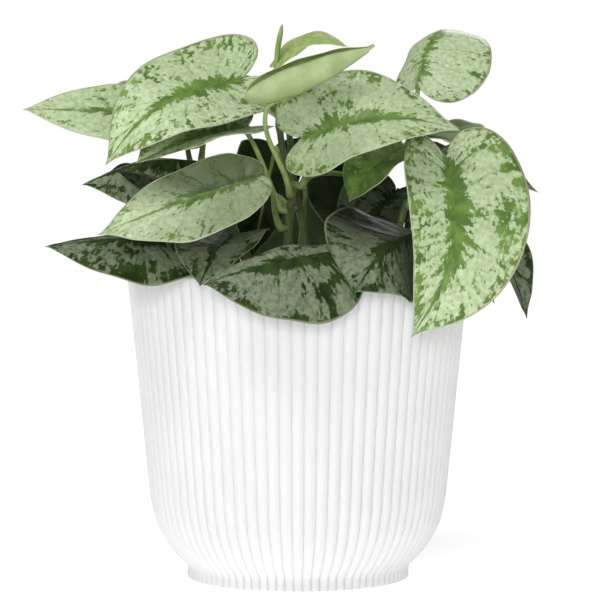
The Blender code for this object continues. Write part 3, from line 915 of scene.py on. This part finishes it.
@dataclass
class PottingSoil:
    """The soil: it fills the pot to below the rim, with an uneven, crumbly top."""

    top: float = SOIL_TOP
    rise: float = 1.5
    edge: float = 65.6
    crumb_count: int = 520
    crumb_flat: float = 0.8
    wave_count: int = 44
    wave_longest: float = 24.0
    wave_shortest: float = 3.0
    wave_steepness: float = 0.016
    columns: int = 150
    rings: int = 46
    seed: int = 11
    body: tuple = ((37.5, 10.4), (45.5, 13.4), (53.0, 21.9), (57.5, 33.7), (64.9, 105.5))

    def top_height(self, share: np.ndarray, turn: np.ndarray) -> np.ndarray:
        """Height of the top: a low dome plus waves of many lengths in random directions.

        Args:
            share: Distance from the middle, as a share of the edge's.
            turn: Angle round the middle.

        Returns:
            Height at each place.
        """
        rng = np.random.default_rng(self.seed)
        heading = rng.uniform(0, 2 * np.pi, self.wave_count)
        length = np.geomspace(self.wave_longest, self.wave_shortest, self.wave_count)
        shift = rng.uniform(0, 2 * np.pi, self.wave_count)
        x = (share * self.edge * np.cos(turn))[..., None]
        y = (share * self.edge * np.sin(turn))[..., None]
        waves = np.sin((x * np.cos(heading) + y * np.sin(heading)) * 2 * np.pi / length + shift)
        return self.top + self.rise * (1 - share ** 2) + (waves * length * self.wave_steepness).sum(-1)

    def crumbs(self) -> list[Skin]:
        """Loose crumbs on the top: small rings of six points with a point at either end.

        Returns:
            One closed surface for each crumb.
        """
        rng = np.random.default_rng(self.seed + 1)
        skins = []
        share = np.sqrt(rng.uniform(0.0, 0.93, self.crumb_count))
        turn = rng.uniform(0, 2 * np.pi, self.crumb_count)
        height = self.top_height(share, turn)
        centre = around(share * self.edge, turn, height)
        size = rng.uniform(0.5, 1.7, self.crumb_count)
        spin = rng.uniform(0, 2 * np.pi, self.crumb_count)
        tones = rng.uniform(0.0, 1.0, self.crumb_count) ** 2
        ring = np.linspace(0, 2 * np.pi, 6, endpoint=False)
        lump = rng.uniform(0.7, 1.25, (self.crumb_count, 3, 6))
        for index in range(self.crumb_count):
            levels = np.array([-0.45, 0.05, 0.5])[:, None]
            wide = np.sqrt(1 - levels ** 2) * lump[index] * size[index]
            angle = ring[None, :] + spin[index]
            rings = np.stack([wide * np.cos(angle) * 1.3, wide * np.sin(angle),
                              np.repeat(levels * size[index] * self.crumb_flat, 6, axis=1)], -1)
            rings = rings + centre[index]
            top = centre[index:index + 1] + np.array([[0.0, 0.0, size[index] * self.crumb_flat]])
            base = centre[index:index + 1] - np.array([[0.0, 0.0, size[index] * 0.7]])
            skins.append(Skin(rings, base, top, tone=np.full(20, tones[index])))
        return skins

    def build(self) -> bpy.types.Object:
        """The soil's mesh: turned rings up the side, then rings of the uneven top.

        Returns:
            The finished object.
        """
        turns = np.linspace(0, 2 * np.pi, self.columns, endpoint=False)
        side = np.array(self.body)
        lower = around(side[:, :1], turns, side[:, 1:])
        share = np.linspace(1.0, 0.02, self.rings)[:, None]
        grid_share, grid_turn = np.broadcast_arrays(share, turns[None, :])
        upper = around(grid_share * self.edge, grid_turn, self.top_height(grid_share, grid_turn))
        middle = np.array([[0.0, 0.0, self.top_height(np.zeros(1), np.zeros(1))[0]]])
        ground = Skin(np.vstack([lower, upper]), np.array([[0.0, 0.0, side[0, 1]]]), middle)
        return Piece("potting_soil", "soil").make([ground] + self.crumbs(), [SOIL_DARK.material()], {})


# Vine stems and leaves

# Place of the stalk's material among a leaf's: the blade's and the underside's come first.
STALK_SLOT = 2


@dataclass
class VineStem:
    """A vine stem: the points it runs through, its radius and where its joints are."""

    name: str
    path: tuple
    radius: float
    joints: tuple = (0.12, 0.45, 0.8)
    steps: int = 60
    sides: int = 16

    def build(self) -> bpy.types.Object:
        """The stem's mesh: a tube that swells a little, and turns browner, at each joint.

        Returns:
            The finished object.
        """
        share = np.linspace(0.0, 1.0, self.steps)
        curve = smooth(self.path, share)
        foot = np.linspace([curve[0][0], curve[0][1], FOOT_BOTTOM], curve[0], 8)[:-1]
        path = np.vstack([foot, curve])
        place = np.concatenate([np.zeros(len(foot)), share])
        swell = sum(bell(place, joint, 0.022) for joint in self.joints)
        scar = sum(bell(place, joint + 0.02, 0.012) for joint in self.joints)
        radii = self.radius * (1.0 - 0.15 * place) * (1.0 + 0.22 * swell + 0.08 * scar)
        skin = tube(path, radii, self.sides, np.full(len(path), 0.06))
        base = np.clip((FOOT_TOP + 6.0 - path[:, 2]) / 12.0, 0.0, 0.8)
        tone = np.maximum(base, np.clip(scar, 0.0, 0.75))
        skin.tone = np.concatenate([np.repeat(tone, self.sides), [tone[0], 0.9]])
        return Piece(self.name.replace("stem_", "vine_"), self.name).make([skin], [VINE_PAINTED_SHADE.material()], {})


@dataclass
class SatinLeaf:
    """One leaf with its stalk, placed by its stalk joint and its tip.

    Angles are in degrees. Pairs are for the left and right half, seen from above with the tip
    ahead. Spread scales each half's width. Fold lifts a half from the midrib, and curl is how
    much more it has turned up at half the width. Arch bends the midrib up and sway sideways,
    in leaf lengths. A furl above 0 rolls the blade up by that angle on each side. Lobe scales
    how far the two lobes reach behind the joint, and slant moves each half's widest part
    towards the tip, in leaf lengths. Shade is painted shade: it darkens each half's colours
    towards the stalk, where the leaves above would cast their shadow.
    """

    name: str
    joint: tuple
    tip: tuple
    width: float
    roll: float
    arch: float = 0.1
    skew: float = 1.0
    sway: float = 0.0
    twist: float = 0.0
    spread: tuple = (1.0, 1.0)
    fold: tuple = (12.0, 12.0)
    curl: tuple = (10.0, 10.0)
    wave: float = 1.0
    phase: float = 0.0
    furl: float = 0.0
    lobe: float = 1.0
    slant: tuple = (0.0, 0.0)
    stem: str = ""
    at: float = 1.0
    out: tuple = ()
    root: tuple = ()
    stalk: float = 1.3
    # Which finish the leaf gets; the shaded, inner and back ones are painted shade.
    age: LeafAgeAndPaintedShade = LeafAgeAndPaintedShade.BRIGHT
    silver: float = 0.0
    shade: tuple = (0.0, 0.0)
    seed: float = 0.0
    rows: int = 64
    half: int = 16
    thickness: float = 0.5
    sunk: float = 0.4
    quilt: float = 0.16
    frill: float = 0.25
    groove: float = 0.30
    stalk_steps: int = 26
    stalk_sides: int = 12

    def midrib(self, stations: np.ndarray) -> tuple[np.ndarray, ...]:
        """Points, tangents, upper normals and right-hand directions along the midrib.

        The midrib is the chord from joint to tip, bent by arch times length times the sine of
        pi times the station to the skew, and sideways by sway in the same way.

        Args:
            stations: Places along the midrib, from 0 at the joint to 1 at the tip.

        Returns:
            Points, tangents, normals and right-hand directions, a row for each station.
        """
        joint = np.array(self.joint, float)
        chord = np.array(self.tip, float) - joint
        length = np.linalg.norm(chord)
        ahead = chord / length
        level = unit(UP - ahead[2] * ahead)
        across = np.cross(ahead, level)

        def turned(angle: np.ndarray) -> np.ndarray:
            """The upper direction, rolled about the chord."""
            return level * np.cos(angle) + across * np.sin(angle)

        upper = turned(math.radians(self.roll))
        side = np.cross(ahead, upper)

        def point(t: np.ndarray) -> np.ndarray:
            """The bent chord at a station."""
            rise = self.arch * length * np.sin(np.pi * t ** self.skew)
            shift = self.sway * length * np.sin(np.pi * t)
            return joint + ahead * (length * t)[:, None] + upper * rise[:, None] + side * shift[:, None]

        inside = np.clip(stations, 0.0, 1.0)
        step = 1e-3
        tangent = unit(point(np.clip(inside + step, 0, 1)) - point(np.clip(inside - step, 0, 1)))
        points = point(inside) + tangent * (length * np.minimum(stations, 0.0))[:, None]
        normal = turned(np.radians(self.roll + self.twist * inside)[:, None])
        normal = unit(normal - (normal * tangent).sum(1, keepdims=True) * tangent)
        return points, tangent, normal, np.cross(tangent, normal)

    def upper_surface(self, steps: np.ndarray, share: np.ndarray) -> np.ndarray:
        """Upper surface as a grid: one row per step along the outline, each following a side vein.

        Across a half, the angle grows from the fold by the curl, and the surface is its
        integral: an arc that starts at the fold, with a ripple that grows with the square of
        the distance out.

        Args:
            steps: Places along the outline, from 0 at the notch to 1 at the tip.
            share: Places across, from -1 at the left margin to 1 at the right one.

        Returns:
            Points, by step and share.
        """
        outline = smooth(HALF_OUTLINE, steps)
        outline[:, 1] *= np.where(outline[:, 1] < 0.0, self.lobe, 1.0)
        middle = steps ** 1.2 if self.furl else 0.2 * steps ** 1.2 + 0.8 * steps ** 2.0
        across = outline[:, :1] * share
        slant = np.where(share > 0.0, self.slant[1], self.slant[0])
        margin = outline[:, 1:] + slant * outline[:, :1] ** 2 * (1.0 - outline[:, 1:])
        along = middle[:, None] + (margin - middle[:, None]) * np.abs(share) ** 0.9
        reach = np.repeat(outline[:, :1], share.size, axis=1).ravel()
        points, _, normal, side = self.midrib(along.ravel())
        flat = across.ravel()
        sign = np.sign(flat)
        right = sign > 0
        half = self.width / 2
        if self.furl:
            turn = math.radians(self.furl)
            radius = np.maximum(reach * half / turn, 0.3)
            angle = np.abs(flat) / np.maximum(reach, 1e-6) * turn
            bent = radius * np.where(right, 1.0, 1.0 - 0.16 * angle / turn)
            sideways = bent * np.sin(angle)
            lift = radius - bent * np.cos(angle)
        else:
            distance = np.abs(flat) * half * np.where(right, self.spread[1], self.spread[0])
            fold = np.radians(np.where(right, self.fold[1], self.fold[0]))
            bend = np.radians(np.where(right, self.curl[1], self.curl[0])) / half
            bend = np.where(np.abs(bend) < 1e-6, 1e-6, bend)
            angle = fold + bend * distance
            sideways = (np.sin(angle) - np.sin(fold)) / bend
            lift = (np.cos(fold) - np.cos(angle)) / bend
            ripple = np.sin(2 * np.pi * (1.7 * along.ravel() + self.phase) + right * 1.3)
            lift = lift + self.wave * ripple * flat ** 2
        surface = points + side * (sign * sideways)[:, None] + normal * lift[:, None]
        return surface.reshape(steps.size, share.size, 3)

    def blade(self) -> Skin:
        """The blade: rings that run over the upper side from margin to margin and back beneath.

        From the middle sheet, each side lies half the thickness away, which thins to nothing
        at the margin. The sheet itself swells between the side veins by a cosine of their
        order and sinks in a narrow channel along the midrib.

        Returns:
            The closed surface, with its map, its slots and its tone, which carries the painted shade.
        """
        steps = np.linspace(0.0, 1.0, self.rows + 2)
        share = np.linspace(-1.0, 1.0, 2 * self.half + 1)
        grid = self.upper_surface(steps, share)
        facing = unit(np.cross(np.gradient(grid, axis=1), np.gradient(grid, axis=0)))
        inner = slice(1, -1)
        grid, facing, steps = grid[inner], facing[inner], steps[inner]
        out = np.abs(share)[None, :]
        reach = smooth(HALF_OUTLINE, steps)[:, :1] * self.width / 2
        fade = np.sin(np.pi * np.clip(out, 0.0, 1.0)) * np.clip(reach / 8.0, 0.0, 1.0)
        quilt = self.quilt * fade * np.cos(2 * np.pi * SIDE_VEINS * steps[:, None])
        beat = 2 * np.pi * (5.3 * steps[:, None] + self.phase) + (share > 0) * 2.0
        edge = self.frill * out ** 5 * np.sin(beat) * np.clip(reach / 8.0, 0.0, 1.0)
        channel = self.groove * bell(out * reach, 0.0, 0.9) * np.clip(reach / 5.0, 0.0, 1.0)
        middle = grid + facing * (quilt + edge - channel - self.sunk)[..., None]
        thick = self.thickness / 2 * np.sqrt(1.0 - out ** 10) * np.clip(reach / 1.5, 0.15, 1.0)
        top = middle + facing * thick[..., None]
        under = (middle - facing * thick[..., None])[:, -2:0:-1]
        rings = np.concatenate([top, under], axis=1)
        loop_share = np.concatenate([share, share[-2:0:-1]])
        maps = np.stack(np.broadcast_arrays(0.5 + 0.5 * loop_share[None, :], steps[:, None]), -1)
        slots = np.concatenate([np.zeros(2 * self.half, int), np.ones(2 * self.half, int)])
        ends = self.upper_surface(np.array([0.0, 1.0]), np.array([0.0]))[:, 0]
        _, _, lift, _ = self.midrib(np.array([0.0, 1.0]))
        ends = ends - lift * self.sunk
        # Painted shade: each half's shade value, full near the stalk and gone towards the tip, goes into
        # the tone.
        deep = np.where(loop_share > 0, self.shade[1], self.shade[0])
        deep = deep[None, :] * np.clip((0.78 - steps[:, None]) / 0.34, 0.0, 1.0)
        return Skin(rings, ends[:1], ends[1:], slots,
                    np.vstack([maps.reshape(-1, 2), [[0.5, 0.0], [0.5, 1.0]]]),
                    np.append(deep.ravel(), [0.0, 0.0]))

    def stalk_skin(self, stems: dict[str, VineStem]) -> Skin:
        """The stalk: a curve from the stem or the soil to the blade, then the rib under the midrib.

        The curve is a Bezier that leaves upwards and arrives along the blade. The radius
        shrinks along it, swells just before the blade, and fades out along the rib. The rib is
        thinner and lower the steeper the blade folds down, so that it stays beneath it.

        Args:
            stems: The vine stems by name.

        Returns:
            The closed surface.
        """
        rib = np.linspace(0.0, 0.93, 22)
        points, tangent, normal, _ = self.midrib(rib)
        lean = math.cos(math.radians(min(0.0, *self.fold)))
        rib_radii = self.stalk * (0.70 - 0.60 * rib ** 0.8) * lean ** 2
        under = points - normal * (rib_radii + 0.62 / lean)[:, None]
        if self.stem:
            stem = stems[self.stem]
            on_stem = smooth(stem.path, np.array([self.at]))[0]
            ends = smooth(stem.path, np.clip(np.array([self.at - 0.02, self.at + 0.02]), 0, 1))
            run = unit(ends[1] - ends[0])
            way = np.array(self.out, float) if self.out else np.array(self.joint, float) - on_stem
            aside = unit(way - run * (way @ run))
            start = on_stem - aside * 0.2
            first = on_stem + aside * (stem.radius + 1.95)
            leave = unit(aside * 0.5 + UP)
        else:
            start = np.array([self.root[0], self.root[1], FOOT_BOTTOM])
            first = np.array([self.root[0], self.root[1], FOOT_TOP])
            leave = UP
        distance = np.linalg.norm(under[0] - first)
        arrive = unit(tangent[0] * 0.6 + UP * 0.6 + normal[0] * 0.2)
        near = first + leave * distance * 0.4
        far = under[0] - arrive * distance * 0.33
        free = np.linspace(0.0, 1.0, self.stalk_steps)
        t = free[:, None]
        back = 1.0 - t
        curve = back ** 3 * first + 3 * back ** 2 * t * near + 3 * back * t ** 2 * far + t ** 3 * under[0]
        path = np.vstack([start, curve, under[1:]])
        swell = 1.0 + 0.22 * bell(free, 0.0, 0.12) + 0.16 * bell(free, 0.94, 0.05)
        free_radii = self.stalk * (1.0 - 0.3 * free) * swell
        radii = np.concatenate([[self.stalk * 1.1], free_radii, rib_radii[1:]])
        plain = np.zeros(len(rib) - 1)
        channel = np.concatenate([[0.0], 0.22 * np.sin(np.pi * free) ** 0.5, plain])
        skin = tube(path, radii, self.stalk_sides, channel)
        skin.slots = np.full(self.stalk_sides, STALK_SLOT)
        tone = np.concatenate([[0.5], 0.45 * bell(free, 0.0, 0.05), plain])
        skin.tone = np.concatenate([np.repeat(tone, self.stalk_sides), [0.5, 0.0]])
        return skin

    def build(self, stems: dict[str, VineStem], extra: list[Skin]) -> bpy.types.Object:
        """The leaf's mesh and finish.

        Args:
            stems: The vine stems by name, for the stalk's start.
            extra: Further surfaces of the same piece, such as a sheath.

        Returns:
            The finished object.
        """
        materials = [BLADES[self.age].material(), UNDERS[self.age].material(), STALK.material()]
        skins = [self.blade(), self.stalk_skin(stems)] + extra
        return Piece("satin_" + self.name, self.name).make(skins, materials,
                                                           {"seed": self.seed, "silver": self.silver})


@dataclass
class Plant:
    """The whole plant: its vine stems, its leaves and the sheath beside the youngest leaf."""

    stems: tuple = (
        VineStem("stem_front", ((-3, -18, 116.5), (-4, -22, 139.5), (-2, -27, 161.5)), 1.8),
        VineStem("stem_left_inner", ((-22, -10, 116.5), (-24, -11, 127), (-27, -13, 138)), 1.6),
        VineStem("stem_left", ((-35, 9, 116.5), (-40, 12, 139.5), (-40, 16, 169.5)), 1.6),
        VineStem("stem_right_front", ((29, -22, 116.5), (37, -26, 133.5), (43, -26, 153.5)), 1.6),
        VineStem("stem_right", ((39, 11, 116.5), (45, 18, 139.5), (47, 20, 173.5)), 1.6),
        VineStem("stem_back", ((0, 35, 116.5), (2, 38, 139.5), (-2, 34, 163.5), (-4, 28, 185.5)), 1.6),
        VineStem("stem_centre", ((4, 6, 116.5), (2, 6, 143.5), (-6, 4, 173.5), (-9, 4, 199.5)), 1.6),
    )
    sheath_path: tuple = ((-9.0, -4.5, 208.0), (-8.2, -4.5, 217.0), (-6.5, -4.5, 225.6))
    sheath_radius: float = 1.3
    sheath_sides: int = 12

    def sheath(self) -> Skin:
        """The sheath left standing by the youngest leaf: a channelled tube with a blunt end.

        Returns:
            The closed surface.
        """
        share = np.linspace(0.0, 1.0, 16)
        radii = self.sheath_radius * (1.0 - 0.75 * share ** 8)
        skin = tube(smooth(self.sheath_path, share), radii, self.sheath_sides, np.full(share.size, 0.45))
        skin.slots = np.full(self.sheath_sides, STALK_SLOT)
        return skin

    def leaves(self) -> list[SatinLeaf]:
        """Every leaf, from the front left round to the back.

        Returns:
            The leaves, in the order that sets their patches.
        """
        shaded, inner, back, new = LeafAgeAndPaintedShade.SHADED, LeafAgeAndPaintedShade.INNER, LeafAgeAndPaintedShade.BACK, LeafAgeAndPaintedShade.NEW
        return [
            SatinLeaf("leaf_top_left", (-22, -16, 204.5), (-76, -45, 169.5), 50, -45, arch=0.17, skew=1.3,
                      sway=0.04, spread=(0.88, 0.90), fold=(4, 4), curl=(0, 0), slant=(0.0, -0.14),
                      stem="stem_centre", at=0.9),
            SatinLeaf("leaf_far_left", (-48, 22, 186.5), (-113, 8, 191.5), 44, -60, arch=0.05,
                      spread=(0.75, 0.6), fold=(6, 6), curl=(0, 0), phase=0.3, stem="stem_left", at=0.95,
                      silver=0.08, shade=(0.0, 0.1)),
            SatinLeaf("leaf_left_high", (-21, -22, 184.5), (-64, -45, 170.5), 44, -25, arch=0.05,
                      spread=(0.85, 1.0), fold=(20, 20), curl=(8, 8), phase=0.6, stem="stem_front", at=0.75,
                      out=(-1, 0.2, 0), silver=-0.04, shade=(0.35, 0.35)),
            SatinLeaf("leaf_left_middle", (-28, 2, 168), (-88, -9, 161), 46, -30, arch=0.12,
                      spread=(1.3, 0.5), fold=(-30, -25), curl=(-10, -15), phase=0.1, stem="stem_centre",
                      at=0.42, age=shaded, silver=-0.04, shade=(0.3, 0.5)),
            SatinLeaf("leaf_left_inner", (-38, -24, 154), (-73, -36, 168), 34, -45, arch=0.06,
                      spread=(0.7, 0.6), fold=(-5, -30), curl=(0, 0), phase=0.5, stem="stem_left_inner",
                      age=inner),
            SatinLeaf("leaf_left_front", (-14, -50, 166), (-78, -62, 143), 54, -38, arch=0.02,
                      spread=(0.86, 0.54), fold=(-4, 14), curl=(8, 25), lobe=0.3, slant=(0.24, 0.16),
                      phase=0.8, stem="stem_front", at=0.6, out=(-1, -0.6, 0), silver=0.07,
                      shade=(0.6, 1.7)),
            SatinLeaf("leaf_rim_left", (-46, -46, 141.5), (-99, -59, 138.5), 48, -30, arch=0.02,
                      fold=(-5, -25), curl=(-25, -10), phase=0.2, root=(-30, -34), age=shaded, silver=-0.1,
                      shade=(0.15, 0.45)),
            SatinLeaf("leaf_rim_small", (-27, -38, 141.5), (-38, -70, 123.5), 38, -5, phase=0.9,
                      root=(-14, -34), age=shaded, silver=-0.02, shade=(0.2, 0.45)),
            SatinLeaf("leaf_rim_front", (14, -66, 135.5), (-37, -76, 124.5), 56, -50, arch=0.06,
                      spread=(1.0, 0.28), fold=(-2, -2), curl=(-20, -50), phase=0.4, root=(12, -44),
                      age=shaded, silver=-0.03, shade=(0.0, 0.2)),
            SatinLeaf("leaf_rim_right", (46, -53, 144), (21, -83, 121), 56, -25, arch=0.15,
                      spread=(0.9, 1.1), fold=(-58, -15), curl=(0, 25), lobe=0.6, slant=(0.16, 0.08),
                      root=(34, -42), age=shaded, silver=-0.04, shade=(1.0, 1.2)),
            SatinLeaf("leaf_right_front", (58, -48, 172.5), (44, -70, 103.5), 54, -40, arch=0.08,
                      sway=-0.12, spread=(1.1, 0.7), fold=(5, 5), curl=(0, 0), phase=0.7,
                      stem="stem_right_front", silver=-0.05, shade=(0.15, 0.2)),
            SatinLeaf("leaf_right_high", (49, 15, 202.5), (69, 61, 222), 52, 0, arch=0.22,
                      spread=(0.6, 1.08), fold=(-20, -4), curl=(-38, -25), phase=0.2, stem="stem_right",
                      silver=0.08),
            SatinLeaf("leaf_centre", (2, -46, 180.5), (64, -55, 183.5), 48, 65, twist=-40, arch=0.10,
                      sway=-0.07, spread=(1.05, 0.8), fold=(2, 2), curl=(0, 0), phase=0.5,
                      stem="stem_front", out=(1, -0.5, 0), silver=0.01, shade=(0.3, 0.4)),
            SatinLeaf("leaf_furled", (-12, -44, 194.5), (30, -50, 216.5), 33, 30, arch=-0.05, furl=150,
                      wave=0, stem="stem_front", at=0.92, out=(-0.2, -1, 0), age=new, silver=-0.3),
            SatinLeaf("leaf_young", (-8, -5, 211), (21, -9, 216.5), 20, 0, arch=0.22, wave=0.4,
                      spread=(0.9, 0.55), fold=(20, -40), stem="stem_centre", stalk=1.0, age=new,
                      silver=-0.3),
            SatinLeaf("leaf_centre_low", (41, -23, 177.5), (20, -30, 154.5), 30, -30, phase=0.6,
                      stem="stem_right", at=0.9, silver=-0.35, shade=(0.3, 0.5)),
            SatinLeaf("leaf_right_middle", (59, 4, 162.5), (99, 8, 157.5), 36, 20, arch=0.12, phase=0.3,
                      stem="stem_right", at=0.6, age=shaded),
            SatinLeaf("leaf_right_low", (64, 1, 149.5), (94, -2, 105.5), 42, 20, arch=0.12, phase=0.1,
                      stem="stem_right", at=0.4, age=shaded),
            SatinLeaf("leaf_right_inner", (40, 1, 158.5), (22, -18, 135.5), 38, -20, arch=0.05, phase=0.8,
                      root=(24, 0), age=inner),
            SatinLeaf("leaf_centre_back", (22, 10, 182.5), (68, -13, 182.5), 32, 20, arch=0.05,
                      spread=(0.8, 1.0), phase=0.4, stem="stem_centre", at=0.6, age=shaded),
            SatinLeaf("leaf_back_left_high", (-40, 34, 198.5), (-83, 62, 188.5), 44, 0, arch=0.08,
                      phase=0.2, stem="stem_left"),
            SatinLeaf("leaf_back_left_low", (-41, 38, 151), (-76, 56, 127.5), 42, 20, arch=0.12, phase=0.7,
                      stem="stem_left", at=0.3, age=back),
            SatinLeaf("leaf_back_right_high", (46, 41, 179.5), (77, 76, 170.5), 46, 0, phase=0.9,
                      stem="stem_right", at=0.9),
            SatinLeaf("leaf_back_right_low", (47, 38, 151.5), (84, 57, 121.5), 44, -10, arch=0.15,
                      phase=0.5, stem="stem_right", at=0.25, age=shaded),
            SatinLeaf("leaf_back_top", (-6, 40, 194.5), (-3, 92, 182.5), 46, 0, phase=0.1,
                      stem="stem_back"),
            SatinLeaf("leaf_back_low", (3, 70, 158), (2, 92, 110), 62, 0, arch=0.15, spread=(1.5, 1.0),
                      lobe=0.3, phase=0.6, stem="stem_back", at=0.2, age=back),
            SatinLeaf("leaf_back_left", (-10, 36, 176), (-20, 60, 128), 36, 0, arch=0.0,
                      spread=(0.85, 1.05), lobe=0.3, phase=0.3, stem="stem_back", at=0.75, age=back),
            SatinLeaf("leaf_back_right", (26, 47, 165), (27, 67, 130), 34, 0, arch=0.0, spread=(1.5, 0.6),
                      phase=0.8, stem="stem_back", at=0.6, age=back),
            SatinLeaf("leaf_back_inner", (10, 9, 191.5), (33, 42, 198.5), 38, 0, arch=0.08, phase=0.4,
                      stem="stem_centre", at=0.8),
            SatinLeaf("leaf_left_back", (-49, 19, 165.5), (-82, 29, 162.5), 32, 0, arch=0.05, phase=0.1,
                      stem="stem_left", at=0.5, age=inner),
            SatinLeaf("leaf_right_back", (60, 30, 173.5), (89, 53, 161.5), 38, -5, phase=0.7,
                      stem="stem_right", at=0.75, age=shaded),
            SatinLeaf("leaf_rim_side", (58, -25, 136), (78, -43, 115), 26, 10, arch=0.12, spread=(0.6, 1.0),
                      phase=0.2, root=(46, -14), age=shaded),
        ]

    def build(self) -> None:
        """Builds every stem and leaf, each leaf with patches of its own."""
        by_name = {stem.name: stem for stem in self.stems}
        for stem in self.stems:
            stem.build()
        for index, leaf in enumerate(self.leaves()):
            leaf.seed = 1.0 + index
            leaf.build(by_name, [self.sheath()] if leaf.name == "leaf_young" else [])


# Studio


@dataclass(frozen=True)
class SoftLight:
    """A square soft light: where it stands, what it faces, its side and its power."""

    name: str
    place: tuple
    aim: tuple
    side: float
    power: float
    colour: Colour = (1.0, 1.0, 1.0)

    def build(self) -> None:
        """Adds the light, turned to face its aim."""
        data = bpy.data.lights.new(self.name, "AREA")
        data.shape = "SQUARE"
        data.size = self.side
        data.energy = self.power
        data.color = self.colour
        made = stand(self.name, data)
        made.location = self.place
        made.rotation_euler = looking(self.place, self.aim)


def looking(place: tuple, aim: tuple) -> tuple[float, float, float]:
    """Turns that make an object at a place face an aim, with its top upwards.

    Args:
        place: Where the object stands.
        aim: What it faces.

    Returns:
        The turns about X, Y and Z.
    """
    x, y, z = (a - p for a, p in zip(aim, place))
    flat = math.hypot(x, y)
    return (math.atan2(flat, -z), 0.0, math.atan2(-x, y))


@dataclass
class Studio:
    """Plain pale floor, soft lights and the camera at the photograph's viewing angle."""

    camera_place: tuple = (0.0008, -1.300, 0.1955)
    camera_aim: tuple = (0.0008, 0.0, 0.1135)
    lens: float = 191.1
    floor_half: float = 4.0
    surround: float = 0.25
    lights: tuple = (
        SoftLight("key_light", (-0.45, -0.65, 1.65), (0.0, 0.0, 0.15), 0.8, 12.5),
        SoftLight("front_light", (-0.10, -1.95, 0.60), (0.0, 0.0, 0.12), 0.5, 13.0),
        SoftLight("back_light", (0.4, 1.3, 1.0), (0.0, 0.0, 0.14), 0.8, 6.0),
    )

    def floor(self) -> None:
        """The floor: one wide square that the pot stands on."""
        half = self.floor_half
        mesh = bpy.data.meshes.new("pale_floor")
        corners = [(-half, -half, 0.0), (half, -half, 0.0), (half, half, 0.0), (-half, half, 0.0)]
        mesh.from_pydata(corners, [], [(0, 1, 2, 3)])
        mesh.materials.append(PALE_FLOOR.material())
        stand("pale_floor", mesh)

    def sky(self) -> None:
        """A white background, and weaker even light from all round."""
        world = bpy.data.worlds.new("white_surround")
        world.use_nodes = True
        graph = Graph(world.node_tree)
        plain = world.node_tree.nodes["Background"]
        plain.inputs["Color"].default_value = (1.0, 1.0, 1.0, 1.0)
        seen = graph.node("ShaderNodeLightPath").outputs["Is Camera Ray"]
        graph.feed(plain.inputs["Strength"], graph.ramp(seen, 0.0, 1.0, self.surround, 1.0))
        bpy.context.scene.world = world
        bpy.context.scene.view_settings.view_transform = "Standard"

    def camera(self) -> None:
        """The camera, with no depth of field and no shift."""
        data = bpy.data.cameras.new("photo_view")
        data.lens = self.lens
        data.sensor_width = 36.0
        data.clip_end = 50.0
        made = stand("photo_view", data)
        made.location = self.camera_place
        made.rotation_euler = looking(self.camera_place, self.camera_aim)
        bpy.context.scene.camera = made

    def build(self) -> None:
        """Sets up floor, surround, lights and camera."""
        self.floor()
        self.sky()
        for light in self.lights:
            light.build()
        self.camera()


def main() -> None:
    """Loads the frame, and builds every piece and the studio."""
    logging.basicConfig(level=logging.INFO, format="%(name)s: %(message)s")
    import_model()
    RibbedPot().build()
    PottingSoil().build()
    Plant().build()
    Studio().build()


if __name__ == "__main__":
    main()
